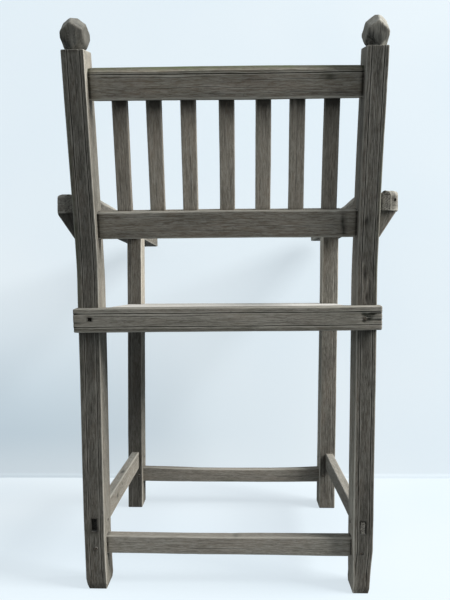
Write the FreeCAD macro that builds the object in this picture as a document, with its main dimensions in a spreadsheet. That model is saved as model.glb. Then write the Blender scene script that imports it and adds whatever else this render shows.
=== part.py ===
import FreeCAD, Part
import os
import re
import Sketcher

# Planters chair: a tall pegged armchair with a leaning slatted back, carved post tops and long flat arms.
# X runs across the chair (the sitter's left is +X), the front faces -Y and Z is up from the floor.
# Depths are measured forwards from the line where the rear faces of the rear posts meet the floor.

# Driving sizes in millimetres and degrees: name, value, what it is
SIZES = (
    ("post_spread", "520", "width over the outer faces of the rear posts"),
    ("post_width", "35", "rear post, across the chair"),
    ("post_depth", "58", "rear post below the bend, square to its rear face"),
    ("post_upper_depth", "54", "rear post above the bend, square to its rear face"),
    ("post_lean", "3.9", "lean of the rear posts below the bend, degrees"),
    ("back_lean", "14.4", "lean of the rear posts above the bend, degrees"),
    ("bend_height", "585", "height of the bend in the rear face of the posts"),
    ("bend_radius", "90", "rounding of the bend"),
    ("post_run", "359", "length of the posts above the bend, up to the shoulder under the carved top"),
    ("foot_chamfer", "3", "chamfer round the foot of each rear post"),
    ("groove_inset", "6.5", "from a post's edge to the scratched groove in its rear face"),
    ("groove_width", "1.6", "width of every scratched groove"),
    ("groove_depth", "1", "depth of every scratched groove"),
    ("finial_left_height", "50", "carved top of the left post"),
    ("finial_right_height", "48", "carved top of the right post"),
    ("leg_width", "36", "front leg, across the chair"),
    ("leg_depth", "57", "front leg, front to back"),
    ("leg_setback", "436.5", "depth at which the front legs' rear faces stand"),
    ("arm_underside", "681", "height of the underside of the arms"),
    ("arm_thickness", "34", "thickness of the arms"),
    ("arm_overhang", "34", "arms past the outer faces of the posts"),
    ("arm_rear_end", "52", "arms' rear ends, behind the floor line"),
    ("arm_reach", "250", "arms past the front faces of the front legs"),
    ("arm_corner", "14", "rounding of the arms' corners in plan"),
    ("arm_hole_side", "6", "square peg hole in the rear end of the right arm"),
    ("arm_hole_depth", "24", "depth of that hole"),
    ("arm_hole_inset", "7", "from the arm's outer edge to that hole"),
    ("leg_tenon_width", "18", "tenon on top of each front leg, across the chair"),
    ("leg_tenon_depth", "36", "the same, front to back"),
    ("leg_tenon_length", "22", "the same, upwards into the arm"),
    ("bracket_height", "44", "triangular bracket under each arm"),
    ("bracket_toe", "3", "flat bottom of the bracket"),
    ("bracket_depth", "36", "bracket, front to back"),
    ("bracket_setback", "5", "bracket's rear face in from the arm's rear end"),
    ("bracket_shy", "2", "bracket's top in from the arm's outer edge"),
    ("top_rail_low", "280", "from the bend up the back to the underside of the top rail"),
    ("top_rail_height", "52", "top rail, up the back"),
    ("back_rail_low", "51", "from the bend up the back to the underside of the lower back rail"),
    ("back_rail_height", "49", "lower back rail, up the back"),
    ("back_rail_thickness", "24", "both back rails, through the back"),
    ("back_rail_recess", "14", "back rails' rear faces in from the posts' rear faces"),
    ("rail_bevel", "7", "bevel along the top rear edge of the top rail"),
    ("rail_groove_drop", "4", "from that bevel down to the scratched groove"),
    ("rail_tenon_length", "22", "tenons of the back rails, seat rails and back stretcher"),
    ("rail_tenon_thickness", "12", "the same, through the rail"),
    ("rail_tenon_shoulder", "6", "rail above and below its tenon"),
    ("slat_width", "26", "back slat, across the chair"),
    ("slat_thickness", "11", "back slat, through the back"),
    ("slat_tenon_length", "14", "slats' ends, housed in the rails"),
    ("slat_shoulder", "2", "slat's edges in to its end tenons"),
    ("seat_rail_low", "478", "up the posts to the underside of the rear seat rail"),
    ("seat_rail_height", "42", "rear seat rail"),
    ("seat_rail_thickness", "22", "rear seat rail, front to back"),
    ("seat_rail_let_in", "8", "housing of the rear seat rail in the posts' rear faces"),
    ("seat_rail_overhang", "7", "rear seat rail's ends past the posts"),
    ("seat_rail_groove_inset", "9", "from its edges to its scratched grooves"),
    ("seat_peg_side", "7", "square pegs that hold the rear seat rail"),
    ("seat_peg_length", "34", "the same, lengthwise"),
    ("seat_peg_recess", "4", "the same, sunk below the rail's rear face"),
    ("seat_top", "510", "height of the seat boards' upper faces"),
    ("board_thickness", "14", "seat boards"),
    ("board_gap", "2.5", "gap between seat boards, and round the posts and legs"),
    ("seat_lap", "30", "seat boards' ends past the inner faces of the rear posts"),
    ("side_rail_width", "22", "side seat rails, across the chair"),
    ("side_rail_height", "26", "side seat rails"),
    ("front_rail_height", "38", "front seat rail"),
    ("front_rail_thickness", "20", "front seat rail, front to back"),
    ("front_rail_recess", "6", "front seat rail in from the front legs' front faces"),
    ("back_stretcher_low", "62", "up the posts to the underside of the back stretcher"),
    ("back_stretcher_height", "33", "back stretcher"),
    ("back_stretcher_depth", "20", "back stretcher, front to back"),
    ("back_stretcher_recess", "16", "back stretcher in from the posts' rear faces"),
    ("front_stretcher_low", "62", "height of the underside of the front stretcher"),
    ("front_stretcher_height", "37", "front stretcher"),
    ("front_stretcher_thickness", "24", "front stretcher, front to back"),
    ("front_stretcher_recess", "18", "front stretcher in from the front legs' rear faces"),
    ("front_stretcher_wear", "4.5", "hollow worn in the top of the front stretcher by feet"),
    ("side_stretcher_low", "98", "height of the underside of the side stretchers"),
    ("side_stretcher_height", "38", "side stretchers"),
    ("side_stretcher_width", "18", "side stretchers, across the chair"),
    ("through_tenon_width", "10", "side stretchers' tenons, across the chair"),
    ("through_tenon_height", "23", "the same, upwards"),
    ("through_tenon_rise", "10", "the same, up from the stretcher's underside"),
    ("through_tenon_shy", "1", "the right rear tenon's end in from the post's rear face"),
    ("through_tenon_gap", "7", "the left rear tenon's end in from the post's rear face"),
    ("front_tenon_length", "46", "side stretchers' tenons in the front legs"),
    ("peg_diameter", "7", "round pegs"),
    ("peg_clearance", "0.1", "round pegs to their holes, all round"),
    ("peg_length", "44", "round pegs driven from the rear"),
    ("cross_peg_length", "28", "round pegs driven from the inner faces"),
    ("peg_inset", "15", "from a post's inner face to the back stretcher's peg"),
    ("leg_peg_inset", "9", "from a front leg's inner face to the front stretcher's peg"),
    ("rear_cross_peg_depth", "25", "depth of the pegs through the side stretchers' rear tenons"),
    ("front_cross_peg_run", "34", "from a front leg's rear face to the peg through the side stretcher"),
    ("mortise_spare", "1.5", "every blind mortise past the end of its tenon"),
    ("overrun", "5", "every cut past the face where it leaves the wood"),
)

# The carved post tops: shares of their height, with the share of the post's section kept there
FINIAL_RING_SHARES = {
    "left": ((0, 0.8), (0.4, 1), (0.7, 0.92), (0.92, 0.52), (1, 0.2)),
    "right": ((0, 0.9), (0.34, 1), (0.62, 0.92), (0.87, 0.5), (1, 0.1)),
}
FINIAL_CORNER_SHARE = 0.18

# Places of the hand-spaced slats, as shares of half the width between the posts, from the right
SLAT_PLACE_SHARES = (-0.787, -0.534, -0.282, -0.011, 0.270, 0.525, 0.778)

BOARD_COUNT = 4
SIDES = {"left": 1, "right": -1}
CLOSE = 0.01


def ring_reach(side, ring):
    """How far behind the bend one ring of a carved top reaches, as an expression."""
    height, width = ring
    run = f"(post_run + finial_{side}_height * {height})"
    return f"{run} * sin(back_lean) - post_upper_depth / 2 * {round(1 - width, 3)} * cos(back_lean)"


REACHES = "; ".join(ring_reach(side, ring) for side, rings in FINIAL_RING_SHARES.items() for ring in rings)

# Sizes that follow from the driving ones: name, formula, what it is
DERIVED = (
    ("inner_half", "=post_spread / 2 - post_width", "from the middle to a rear post's inner face"),
    ("leg_inner_half", "=post_spread / 2 - leg_width", "from the middle to a front leg's inner face"),
    ("bend_back", "=bend_height * tan(post_lean)", "the bend, behind the floor line"),
    ("bend_turn", "=back_lean - post_lean", "turn of the posts at the bend"),
    ("bend_drop", "=(post_depth - post_upper_depth * cos(bend_turn)) / sin(bend_turn)",
     "front of the bend below its rear, along the back"),
    ("leg_front", "=leg_setback + leg_depth", "depth of the front legs' front faces"),
    ("arm_front", "=leg_front + arm_reach", "depth of the arms' front ends"),
    ("reach_back", f"=bend_back + max({REACHES})", "rearmost point, behind the floor line"),
    ("rear_line", "=(arm_front - reach_back) / 2", "Y of the floor line, so that the origin is central"),
    ("board_underside", "=seat_top - board_thickness", "height on which the seat boards lie"),
    ("seat_half", "=inner_half + seat_lap", "from the middle to the seat boards' ends"),
    ("seat_back", "=-seat_top * tan(post_lean) + seat_rail_let_in + board_gap / 2", "depth of the seat's rear edge"),
    ("board_pitch", f"=(leg_front - seat_back + board_gap) / {BOARD_COUNT}", "from one seat board to the next"),
    ("post_front", "=post_depth / cos(post_lean)", "depth of a rear post's front face at the floor"),
    ("rail_seat_y", "=-post_upper_depth / 2", "mid-depth of the posts above the bend"),
    ("slat_back", "=-back_rail_recess - (back_rail_thickness - slat_thickness) / 2", "rear face of the slats"),
)

doc = FreeCAD.newDocument("planters_chair")
sheet = doc.addObject("Spreadsheet::Sheet", "Sizes")
for row, (alias, text, note) in enumerate(SIZES + DERIVED, start=1):
    sheet.set(f"A{row}", note)
    sheet.set(f"B{row}", text)
    sheet.setAlias(f"B{row}", alias)
doc.recompute()
ALIASES = {alias for alias, _, _ in SIZES + DERIVED}


def linked(text):
    """An expression with each size's name replaced by its cell in the sheet."""
    return re.sub(r"[a-z_]+", lambda word: f"Sizes.{word[0]}" if word[0] in ALIASES else word[0], text)


def value(text):
    """The present value of an expression, in millimetres or degrees."""
    return float(sheet.evalExpression(linked(text)))


# Frames in the side view: the level one, the one along the lower posts and the one along the back
FRAMES = {
    "level": ("0", "0", "0"),
    "leg": ("0", "0", "post_lean"),
    "back": ("bend_back", "bend_height", "back_lean"),
}


def in_frame(frame, y, z):
    """Expressions for Y and Z, from the floor line, of a point given in a frame of the side view."""
    start_y, start_z, lean = FRAMES[frame]
    if frame == "level":
        return y, z
    along = f"{start_y} + ({y}) * cos({lean}) + ({z}) * sin({lean})"
    upwards = f"{start_z} - ({y}) * sin({lean}) + ({z}) * cos({lean})"
    return along, upwards


def place(item, prop, point, axis=None, angle="0"):
    """Binds the base and turn of one of an object's placements to expressions."""
    if axis is not None:
        turn = FreeCAD.Rotation(FreeCAD.Vector(*axis), value(angle))
        setattr(item, prop, FreeCAD.Placement(FreeCAD.Vector(), turn))
        item.setExpression(f"{prop}.Rotation.Angle", linked(angle))
    for letter, text in zip("xyz", point):
        item.setExpression(f"{prop}.Base.{letter}", linked(text))


def new_body(label, frame="level"):
    """A sub-part with its own origin, stood in one of the frames."""
    body = doc.addObject("PartDesign::Body", label)
    body.Label = label
    start_y, start_z, lean = FRAMES[frame]
    base = ("0", f"rear_line + {start_y}", start_z)
    if frame == "level":
        place(body, "Placement", base)
    else:
        place(body, "Placement", base, (-1, 0, 0), lean)
    return body


def attach(item, body, role):
    """Attaches a feature or a sketch to one of its body's origin planes."""
    plane = next(thing for thing in body.Origin.OriginFeatures if thing.Role == role)
    item.AttachmentSupport = [(plane, "")]
    item.MapMode = "FlatFace"


def block(body, name, corner, size, frame="level", cut=False):
    """Adds a box to a body or cuts one from it. The corner is its lowest X, Y and Z in the frame."""
    kind = "PartDesign::SubtractiveBox" if cut else "PartDesign::AdditiveBox"
    box = body.newObject(kind, f"{body.Name}_{name}")
    attach(box, body, "XY_Plane")
    point = (corner[0], *in_frame(frame, corner[1], corner[2]))
    if frame == "level":
        place(box, "AttachmentOffset", point)
    else:
        place(box, "AttachmentOffset", point, (-1, 0, 0), FRAMES[frame][2])
    for prop, text in zip(("Length", "Width", "Height"), size):
        box.setExpression(prop, linked(text))
    return box


PEG_TURNS = {
    "forward": ((1, 0, 0), "90"),
    "forward_leg": ((1, 0, 0), "90 - post_lean"),
    "across": ((0, 1, 0), "90"),
}


def peg_hole(body, name, start, way, length):
    """Drills a round hole for a peg, from a start point and forwards or across."""
    hole = body.newObject("PartDesign::SubtractiveCylinder", f"{body.Name}_{name}")
    attach(hole, body, "XY_Plane")
    place(hole, "AttachmentOffset", start, *PEG_TURNS[way])
    hole.setExpression("Radius", linked("peg_diameter / 2 + peg_clearance"))
    hole.setExpression("Height", linked(length))
    return hole


def outline(body, name, role, points, base=("0", "0", "0"), axis=None, angle="0"):
    """A closed sketch through corners given as expressions."""
    sketch = body.newObject("Sketcher::SketchObject", f"{body.Name}_{name}")
    attach(sketch, body, role)
    place(sketch, "AttachmentOffset", base, axis, angle)
    corners = [FreeCAD.Vector(value(x), value(y), 0) for x, y in points]
    for start, end in zip(corners, corners[1:] + corners[:1]):
        sketch.addGeometry(Part.LineSegment(start, end))
    for index, (texts, corner) in enumerate(zip(points, corners)):
        before = (index - 1) % len(points)
        sketch.addConstraint(Sketcher.Constraint("Coincident", before, 2, index, 1))
        for kind, text, at in zip(("DistanceX", "DistanceY"), texts, (corner.x, corner.y)):
            number = sketch.addConstraint(Sketcher.Constraint(kind, -1, 1, index, 1, at))
            sketch.setExpression(f"Constraints[{number}]", linked(text))
    return sketch


def pad(body, name, sketch, length):
    """Extrudes a sketch along its normal."""
    feature = body.newObject("PartDesign::Pad", f"{body.Name}_{name}")
    feature.Profile = sketch
    feature.setExpression("Length", linked(length))
    return feature


def dress(body, kind, name, chosen, prop, size):
    """A fillet or chamfer on the edges of the body's last feature that a test picks."""
    doc.recompute()
    last = body.Tip
    names = [f"Edge{number}" for number, edge in enumerate(last.Shape.Edges, start=1) if chosen(edge)]
    feature = body.newObject(kind, f"{body.Name}_{name}")
    feature.Base = (last, names)
    feature.setExpression(prop, linked(size))
    return feature


def spans(edge, letter):
    """True if a straight edge runs along one axis."""
    ends = [vertex.Point for vertex in edge.Vertexes]
    return len(ends) == 2 and abs(abs(getattr(ends[1] - ends[0], letter)) - edge.Length) < CLOSE


def side_x(side, inner, width):
    """Expression for the lowest X of something that starts at a distance from the middle on one side."""
    return inner if SIDES[side] > 0 else f"-({inner} + {width})"


def rail_tenon(low, height, recess, thickness):
    """Height range and depth range of a rail's end tenon, in its frame: (y, z, depth, height)."""
    y = f"-{recess} - {thickness} / 2 - rail_tenon_thickness / 2"
    z = f"{low} + rail_tenon_shoulder"
    return y, z, "rail_tenon_thickness", f"{height} - 2 * rail_tenon_shoulder"


# The rails that are tenoned into the rear posts: underside, height, recess, thickness, frame
POST_RAILS = {
    "top_rail": ("top_rail_low", "top_rail_height", "back_rail_recess", "back_rail_thickness", "back"),
    "lower_back_rail": ("back_rail_low", "back_rail_height", "back_rail_recess", "back_rail_thickness", "back"),
    "back_stretcher": (
        "back_stretcher_low", "back_stretcher_height", "back_stretcher_recess", "back_stretcher_depth", "leg"
    ),
}
SIDE_TENON_X = "post_spread / 2 - post_width / 2 - through_tenon_width / 2"
SIDE_TENON_Z = "side_stretcher_low + through_tenon_rise"
SIDE_RAIL_X = "inner_half + (post_width - side_rail_width) / 2"
SIDE_RAIL_TENON_X = "inner_half + (post_width - rail_tenon_thickness) / 2"
SIDE_RAIL_LOW = "board_underside - side_rail_height"
SIDE_RAIL_TENON_HEIGHT = "side_rail_height - 2 * rail_tenon_shoulder"
FRONT_RAIL_Y = "-(leg_front - front_rail_recess)"
FRONT_STRETCHER_Y = "-(leg_setback + front_stretcher_recess + front_stretcher_thickness)"
TENON_END = "rail_tenon_length + mortise_spare"
SEAT_PEG_X = "inner_half + post_width / 2 - seat_peg_side / 2"


def face_depth(height):
    """Depth of the rear posts' rear faces at a height below the bend."""
    return f"-({height}) * tan(post_lean)"


def front_face_depth(height):
    """Depth of the rear posts' front faces at a height below the bend."""
    return f"post_front - ({height}) * tan(post_lean)"


def drill_rear_pegs(body, side):
    """Holes for the pegs that hold the back stretcher and the side stretcher in a rear post."""
    x = f"{SIDES[side]} * (inner_half + peg_inset)"
    y, z = in_frame("leg", "0", "back_stretcher_low + back_stretcher_height / 2")
    peg_hole(body, "stretcher_peg_hole", (x, y, z), "forward_leg", "peg_length")
    x = side_x(side, "inner_half", "cross_peg_length")
    z = f"{SIDE_TENON_Z} + through_tenon_height / 2"
    peg_hole(body, "tenon_peg_hole", (x, "-rear_cross_peg_depth", z), "across", "cross_peg_length")


def make_finial(body, side):
    """The faceted top, carved from the post's own wood as eight-sided rings."""
    middle = f"{SIDES[side]} * (inner_half + post_width / 2)"
    rings = []
    for number, (height, width) in enumerate(FINIAL_RING_SHARES[side]):
        y, z = in_frame("back", "rail_seat_y", f"post_run + finial_{side}_height * {height}")
        long_x, long_y = f"post_width / 2 * {width}", f"post_upper_depth / 2 * {width}"
        short_x, short_y = (f"{text} * {1 - 2 * FINIAL_CORNER_SHARE}" for text in (long_x, long_y))
        points = []
        for sign_x, sign_y in ((1, 1), (-1, 1), (-1, -1), (1, -1)):
            pair = [(f"{sign_x} * {long_x}", f"{sign_y} * {short_y}"), (f"{sign_x} * {short_x}", f"{sign_y} * {long_y}")]
            points += pair if sign_x == sign_y else pair[::-1]
        rings.append(outline(body, f"ring_{number}", "XY_Plane", points, (middle, y, z), (-1, 0, 0), "back_lean"))
    loft = body.newObject("PartDesign::AdditiveLoft", f"{body.Name}_finial")
    loft.Profile = rings[0]
    loft.Sections = rings[1:]
    loft.Ruled = True


def make_rear_post(side):
    """A bent rear post with its carved top, mortises, housing and scratched grooves."""
    body = new_body(f"rear_post_{side}")
    top_rear = in_frame("back", "0", "post_run")
    top_front = in_frame("back", "-post_upper_depth", "post_run")
    bend_front = in_frame("back", "-post_upper_depth", "-bend_drop")
    points = [("0", "0"), ("bend_back", "bend_height"), top_rear, top_front, bend_front, ("-post_front", "0")]
    start = side_x(side, "inner_half", "post_width")
    pad(body, "blank", outline(body, "outline", "YZ_Plane", points, ("0", "0", start)), "post_width")
    bends = [value(bend_front[1]), value("bend_height")]

    def at_bend(edge):
        return spans(edge, "x") and any(abs(edge.CenterOfMass.z - height) < CLOSE for height in bends)

    dress(body, "PartDesign::Fillet", "bend", at_bend, "Radius", "bend_radius")
    dress(body, "PartDesign::Chamfer", "foot", lambda edge: edge.BoundBox.ZMax < CLOSE, "Size", "foot_chamfer")
    make_finial(body, side)
    mortise_x = side_x(side, "inner_half", TENON_END)
    for name, (low, height, recess, thickness, frame) in POST_RAILS.items():
        y, z, deep, tall = rail_tenon(low, height, recess, thickness)
        block(body, f"{name}_mortise", (mortise_x, y, z), (TENON_END, deep, tall), frame, cut=True)
    x = side_x(side, "inner_half - overrun", "post_width + 2 * overrun")
    housing = ("post_width + 2 * overrun", "seat_rail_let_in + overrun", "seat_rail_height")
    block(body, "seat_rail_housing", (x, "-seat_rail_let_in", "seat_rail_low"), housing, "leg", cut=True)
    x = side_x(side, SIDE_TENON_X, "through_tenon_width")
    length = "post_depth * 2"
    block(body, "through_mortise", (x, "-post_depth * 1.5", SIDE_TENON_Z),
          ("through_tenon_width", length, "through_tenon_height"), cut=True)
    x = side_x(side, SIDE_RAIL_TENON_X, "rail_tenon_thickness")
    z = f"{SIDE_RAIL_LOW} + rail_tenon_shoulder"
    y = f"-({front_face_depth(SIDE_RAIL_LOW)}) - overrun"
    block(body, "side_rail_mortise", (x, y, z),
          ("rail_tenon_thickness", f"{TENON_END} + overrun", SIDE_RAIL_TENON_HEIGHT), cut=True)
    x = side_x(side, f"{SEAT_PEG_X} - seat_peg_side / 2", "seat_peg_side")
    y = "seat_rail_thickness - seat_rail_let_in - seat_peg_recess - seat_peg_length"
    z = "seat_rail_low + seat_rail_height / 2 - seat_peg_side / 2"
    block(body, "seat_peg_hole", (x, y, z), ("seat_peg_side", "seat_peg_length", "seat_peg_side"), "leg", cut=True)
    drill_rear_pegs(body, side)
    for number, inset in enumerate(("groove_inset", "post_width - groove_inset - groove_width")):
        x = side_x(side, f"inner_half + {inset}", "groove_width")
        size = ("groove_width", "groove_depth + overrun", "post_run")
        block(body, f"upper_groove_{number}", (x, "-groove_depth", "0"), size, "back", cut=True)
        size = ("groove_width", "groove_depth + overrun", "bend_height / cos(post_lean)")
        block(body, f"lower_groove_{number}", (x, "-groove_depth", "0"), size, "leg", cut=True)


def make_front_leg(side):
    """A straight front leg with a tenon for the arm and mortises for its rails and stretchers."""
    body = new_body(f"front_leg_{side}")
    x = side_x(side, "leg_inner_half", "leg_width")
    block(body, "blank", (x, "-leg_front", "0"), ("leg_width", "leg_depth", "arm_underside"))
    x = side_x(side, "post_spread / 2 - leg_width / 2 - leg_tenon_width / 2", "leg_tenon_width")
    y = "-leg_setback - leg_depth / 2 - leg_tenon_depth / 2"
    block(body, "tenon", (x, y, "arm_underside"), ("leg_tenon_width", "leg_tenon_depth", "leg_tenon_length"))
    x = side_x(side, "leg_inner_half", TENON_END)
    deep = "rail_tenon_thickness"
    y = f"{FRONT_RAIL_Y} + front_rail_thickness / 2 - rail_tenon_thickness / 2"
    z = "board_underside - front_rail_height + rail_tenon_shoulder"
    block(body, "front_rail_mortise", (x, y, z), (TENON_END, deep, "front_rail_height - 2 * rail_tenon_shoulder"),
          cut=True)
    y = f"{FRONT_STRETCHER_Y} + front_stretcher_thickness / 2 - rail_tenon_thickness / 2"
    z = "front_stretcher_low + rail_tenon_shoulder"
    block(body, "front_stretcher_mortise", (x, y, z),
          (TENON_END, deep, "front_stretcher_height - 2 * rail_tenon_shoulder"), cut=True)
    x = side_x(side, SIDE_TENON_X, "through_tenon_width")
    length = "front_tenon_length + mortise_spare"
    block(body, "side_stretcher_mortise", (x, f"-leg_setback - ({length})", SIDE_TENON_Z),
          ("through_tenon_width", length, "through_tenon_height"), cut=True)
    x = side_x(side, SIDE_RAIL_TENON_X, "rail_tenon_thickness")
    z = f"{SIDE_RAIL_LOW} + rail_tenon_shoulder"
    block(body, "side_rail_mortise", (x, f"-leg_setback - ({TENON_END})", z),
          ("rail_tenon_thickness", TENON_END, SIDE_RAIL_TENON_HEIGHT), cut=True)
    x = f"{SIDES[side]} * (leg_inner_half + leg_peg_inset)"
    z = "front_stretcher_low + front_stretcher_height / 2"
    peg_hole(body, "stretcher_peg_hole", (x, "-leg_setback", z), "forward", "peg_length")
    x = side_x(side, "leg_inner_half", "cross_peg_length")
    z = f"{SIDE_TENON_Z} + through_tenon_height / 2"
    peg_hole(body, "tenon_peg_hole", (x, "-leg_setback - front_cross_peg_run", z), "across", "cross_peg_length")


def make_post_rail(name):
    """A rail between the rear posts, with a tenon through its whole length."""
    low, height, recess, thickness, frame = POST_RAILS[name]
    body = new_body(name, frame)
    y, z = f"-{recess} - {thickness}", low
    block(body, "blank", ("-inner_half", y, z), ("2 * inner_half", thickness, height))
    y, z, deep, tall = rail_tenon(low, height, recess, thickness)
    length = "2 * (inner_half + rail_tenon_length)"
    block(body, "tenons", ("-inner_half - rail_tenon_length", y, z), (length, deep, tall))
    return body


def cut_slat_mortises(body, low):
    """Housings for the ends of the slats, cut up or down from a level."""
    for number, share in enumerate(SLAT_PLACE_SHARES, start=1):
        x = f"inner_half * {share} - slat_width / 2 + slat_shoulder"
        size = ("slat_width - 2 * slat_shoulder", "slat_thickness", "slat_tenon_length + mortise_spare")
        block(body, f"mortise_{number}", (x, "slat_back - slat_thickness", low), size, cut=True)


def make_back_rails():
    """The top rail, bevelled and grooved along its top, and the lower back rail."""
    body = make_post_rail("top_rail")
    y, z = "-back_rail_recess", "top_rail_low + top_rail_height"
    bevel = [(f"{y} - rail_bevel", z), (f"{y} - rail_bevel", f"{z} + overrun"), (f"{y} + overrun", f"{z} + overrun"),
             (f"{y} + overrun", f"{z} - rail_bevel"), (y, f"{z} - rail_bevel")]
    sketch = outline(body, "bevel_outline", "YZ_Plane", bevel, ("0", "0", "-inner_half"))
    cut = body.newObject("PartDesign::Pocket", "top_rail_bevel")
    cut.Profile = sketch
    cut.Reversed = True
    cut.setExpression("Length", linked("2 * inner_half"))
    corner = ("-inner_half", "-back_rail_recess - groove_depth", f"{z} - rail_bevel - rail_groove_drop")
    block(body, "groove", corner, ("2 * inner_half", "groove_depth + overrun", "groove_width"), cut=True)
    cut_slat_mortises(body, "top_rail_low")
    body = make_post_rail("lower_back_rail")
    cut_slat_mortises(body, "back_rail_low + back_rail_height - slat_tenon_length - mortise_spare")


def make_slats():
    """Seven flat slats with their ends housed in the back rails."""
    low = "back_rail_low + back_rail_height"
    for number, share in enumerate(SLAT_PLACE_SHARES, start=1):
        body = new_body(f"back_slat_{number}", "back")
        x = f"inner_half * {share} - slat_width / 2"
        corner = (x, "slat_back - slat_thickness", low)
        block(body, "blank", corner, ("slat_width", "slat_thickness", f"top_rail_low - ({low})"))
        corner = (f"{x} + slat_shoulder", "slat_back - slat_thickness", f"{low} - slat_tenon_length")
        size = ("slat_width - 2 * slat_shoulder", "slat_thickness", f"top_rail_low - ({low}) + 2 * slat_tenon_length")
        block(body, "tenons", corner, size)


def make_rear_seat_rail():
    """The rail housed across the rear faces of both posts, with its scratched grooves and peg holes."""
    body = new_body("rear_seat_rail", "leg")
    half = "(post_spread / 2 + seat_rail_overhang)"
    y = "seat_rail_thickness - seat_rail_let_in"
    corner = (f"-{half}", "-seat_rail_let_in", "seat_rail_low")
    block(body, "blank", corner, (f"2 * {half}", "seat_rail_thickness", "seat_rail_height"))
    for number, inset in enumerate(
        ("seat_rail_groove_inset", "seat_rail_height - seat_rail_groove_inset - groove_width")
    ):
        corner = (f"-{half}", f"{y} - groove_depth", f"seat_rail_low + {inset}")
        block(body, f"groove_{number}", corner, (f"2 * {half}", "groove_depth + overrun", "groove_width"), cut=True)
    for side in SIDES:
        x = side_x(side, f"{SEAT_PEG_X} - seat_peg_side / 2", "seat_peg_side")
        z = "seat_rail_low + seat_rail_height / 2 - seat_peg_side / 2"
        corner = (x, "-seat_rail_let_in - overrun", z)
        size = ("seat_peg_side", "seat_rail_thickness + 2 * overrun", "seat_peg_side")
        block(body, f"peg_hole_{side}", corner, size, cut=True)


def make_side_seat_rail(side):
    """A side seat rail, tenoned into the rear post and the front leg."""
    body = new_body(f"side_seat_rail_{side}")
    x = side_x(side, SIDE_RAIL_X, "side_rail_width")
    rear = f"-({front_face_depth('board_underside')})"
    low_rear = f"-({front_face_depth(SIDE_RAIL_LOW)})"
    points = [("-leg_setback", SIDE_RAIL_LOW), (low_rear, SIDE_RAIL_LOW), (rear, "board_underside"),
              ("-leg_setback", "board_underside")]
    sketch = outline(body, "outline", "YZ_Plane", points, ("0", "0", x))
    pad(body, "blank", sketch, "side_rail_width")
    x = side_x(side, SIDE_RAIL_TENON_X, "rail_tenon_thickness")
    corner = (x, "-leg_setback - rail_tenon_length", f"{SIDE_RAIL_LOW} + rail_tenon_shoulder")
    length = f"leg_setback + rail_tenon_length + {low_rear} + rail_tenon_length"
    block(body, "tenons", corner, ("rail_tenon_thickness", length, SIDE_RAIL_TENON_HEIGHT))


def make_front_seat_rail():
    """The front seat rail, tenoned between the front legs."""
    body = new_body("front_seat_rail")
    low = "board_underside - front_rail_height"
    corner = ("-leg_inner_half", FRONT_RAIL_Y, low)
    block(body, "blank", corner, ("2 * leg_inner_half", "front_rail_thickness", "front_rail_height"))
    y = f"{FRONT_RAIL_Y} + front_rail_thickness / 2 - rail_tenon_thickness / 2"
    corner = ("-leg_inner_half - rail_tenon_length", y, f"{low} + rail_tenon_shoulder")
    size = ("2 * (leg_inner_half + rail_tenon_length)", "rail_tenon_thickness",
            "front_rail_height - 2 * rail_tenon_shoulder")
    block(body, "tenons", corner, size)


def make_seat_boards():
    """Boards laid across the side seat rails. The first is notched round the posts, the last round the legs."""
    for number in range(1, BOARD_COUNT + 1):
        body = new_body(f"seat_board_{number}")
        front = f"seat_back + board_pitch * {number} - board_gap"
        corner = ("-seat_half", f"-({front})", "board_underside")
        block(body, "blank", corner, ("2 * seat_half", "board_pitch - board_gap", "board_thickness"))
        for side in SIDES:
            wide, tall = "seat_lap + board_gap + overrun", "board_thickness + 2 * overrun"
            if number == 1:
                x = side_x(side, "inner_half - board_gap", wide)
                deep = f"{front_face_depth('board_underside')} - seat_back + board_gap + overrun"
                y = f"-({front_face_depth('board_underside')}) - board_gap"
                block(body, f"notch_{side}", (x, y, "board_underside - overrun"), (wide, deep, tall), cut=True)
            if number == BOARD_COUNT:
                wide = "seat_half - leg_inner_half + board_gap + overrun"
                x = side_x(side, "leg_inner_half - board_gap", wide)
                corner = (x, "-leg_front - overrun", "board_underside - overrun")
                block(body, f"notch_{side}", corner, (wide, "leg_depth + board_gap + overrun", tall), cut=True)


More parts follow.
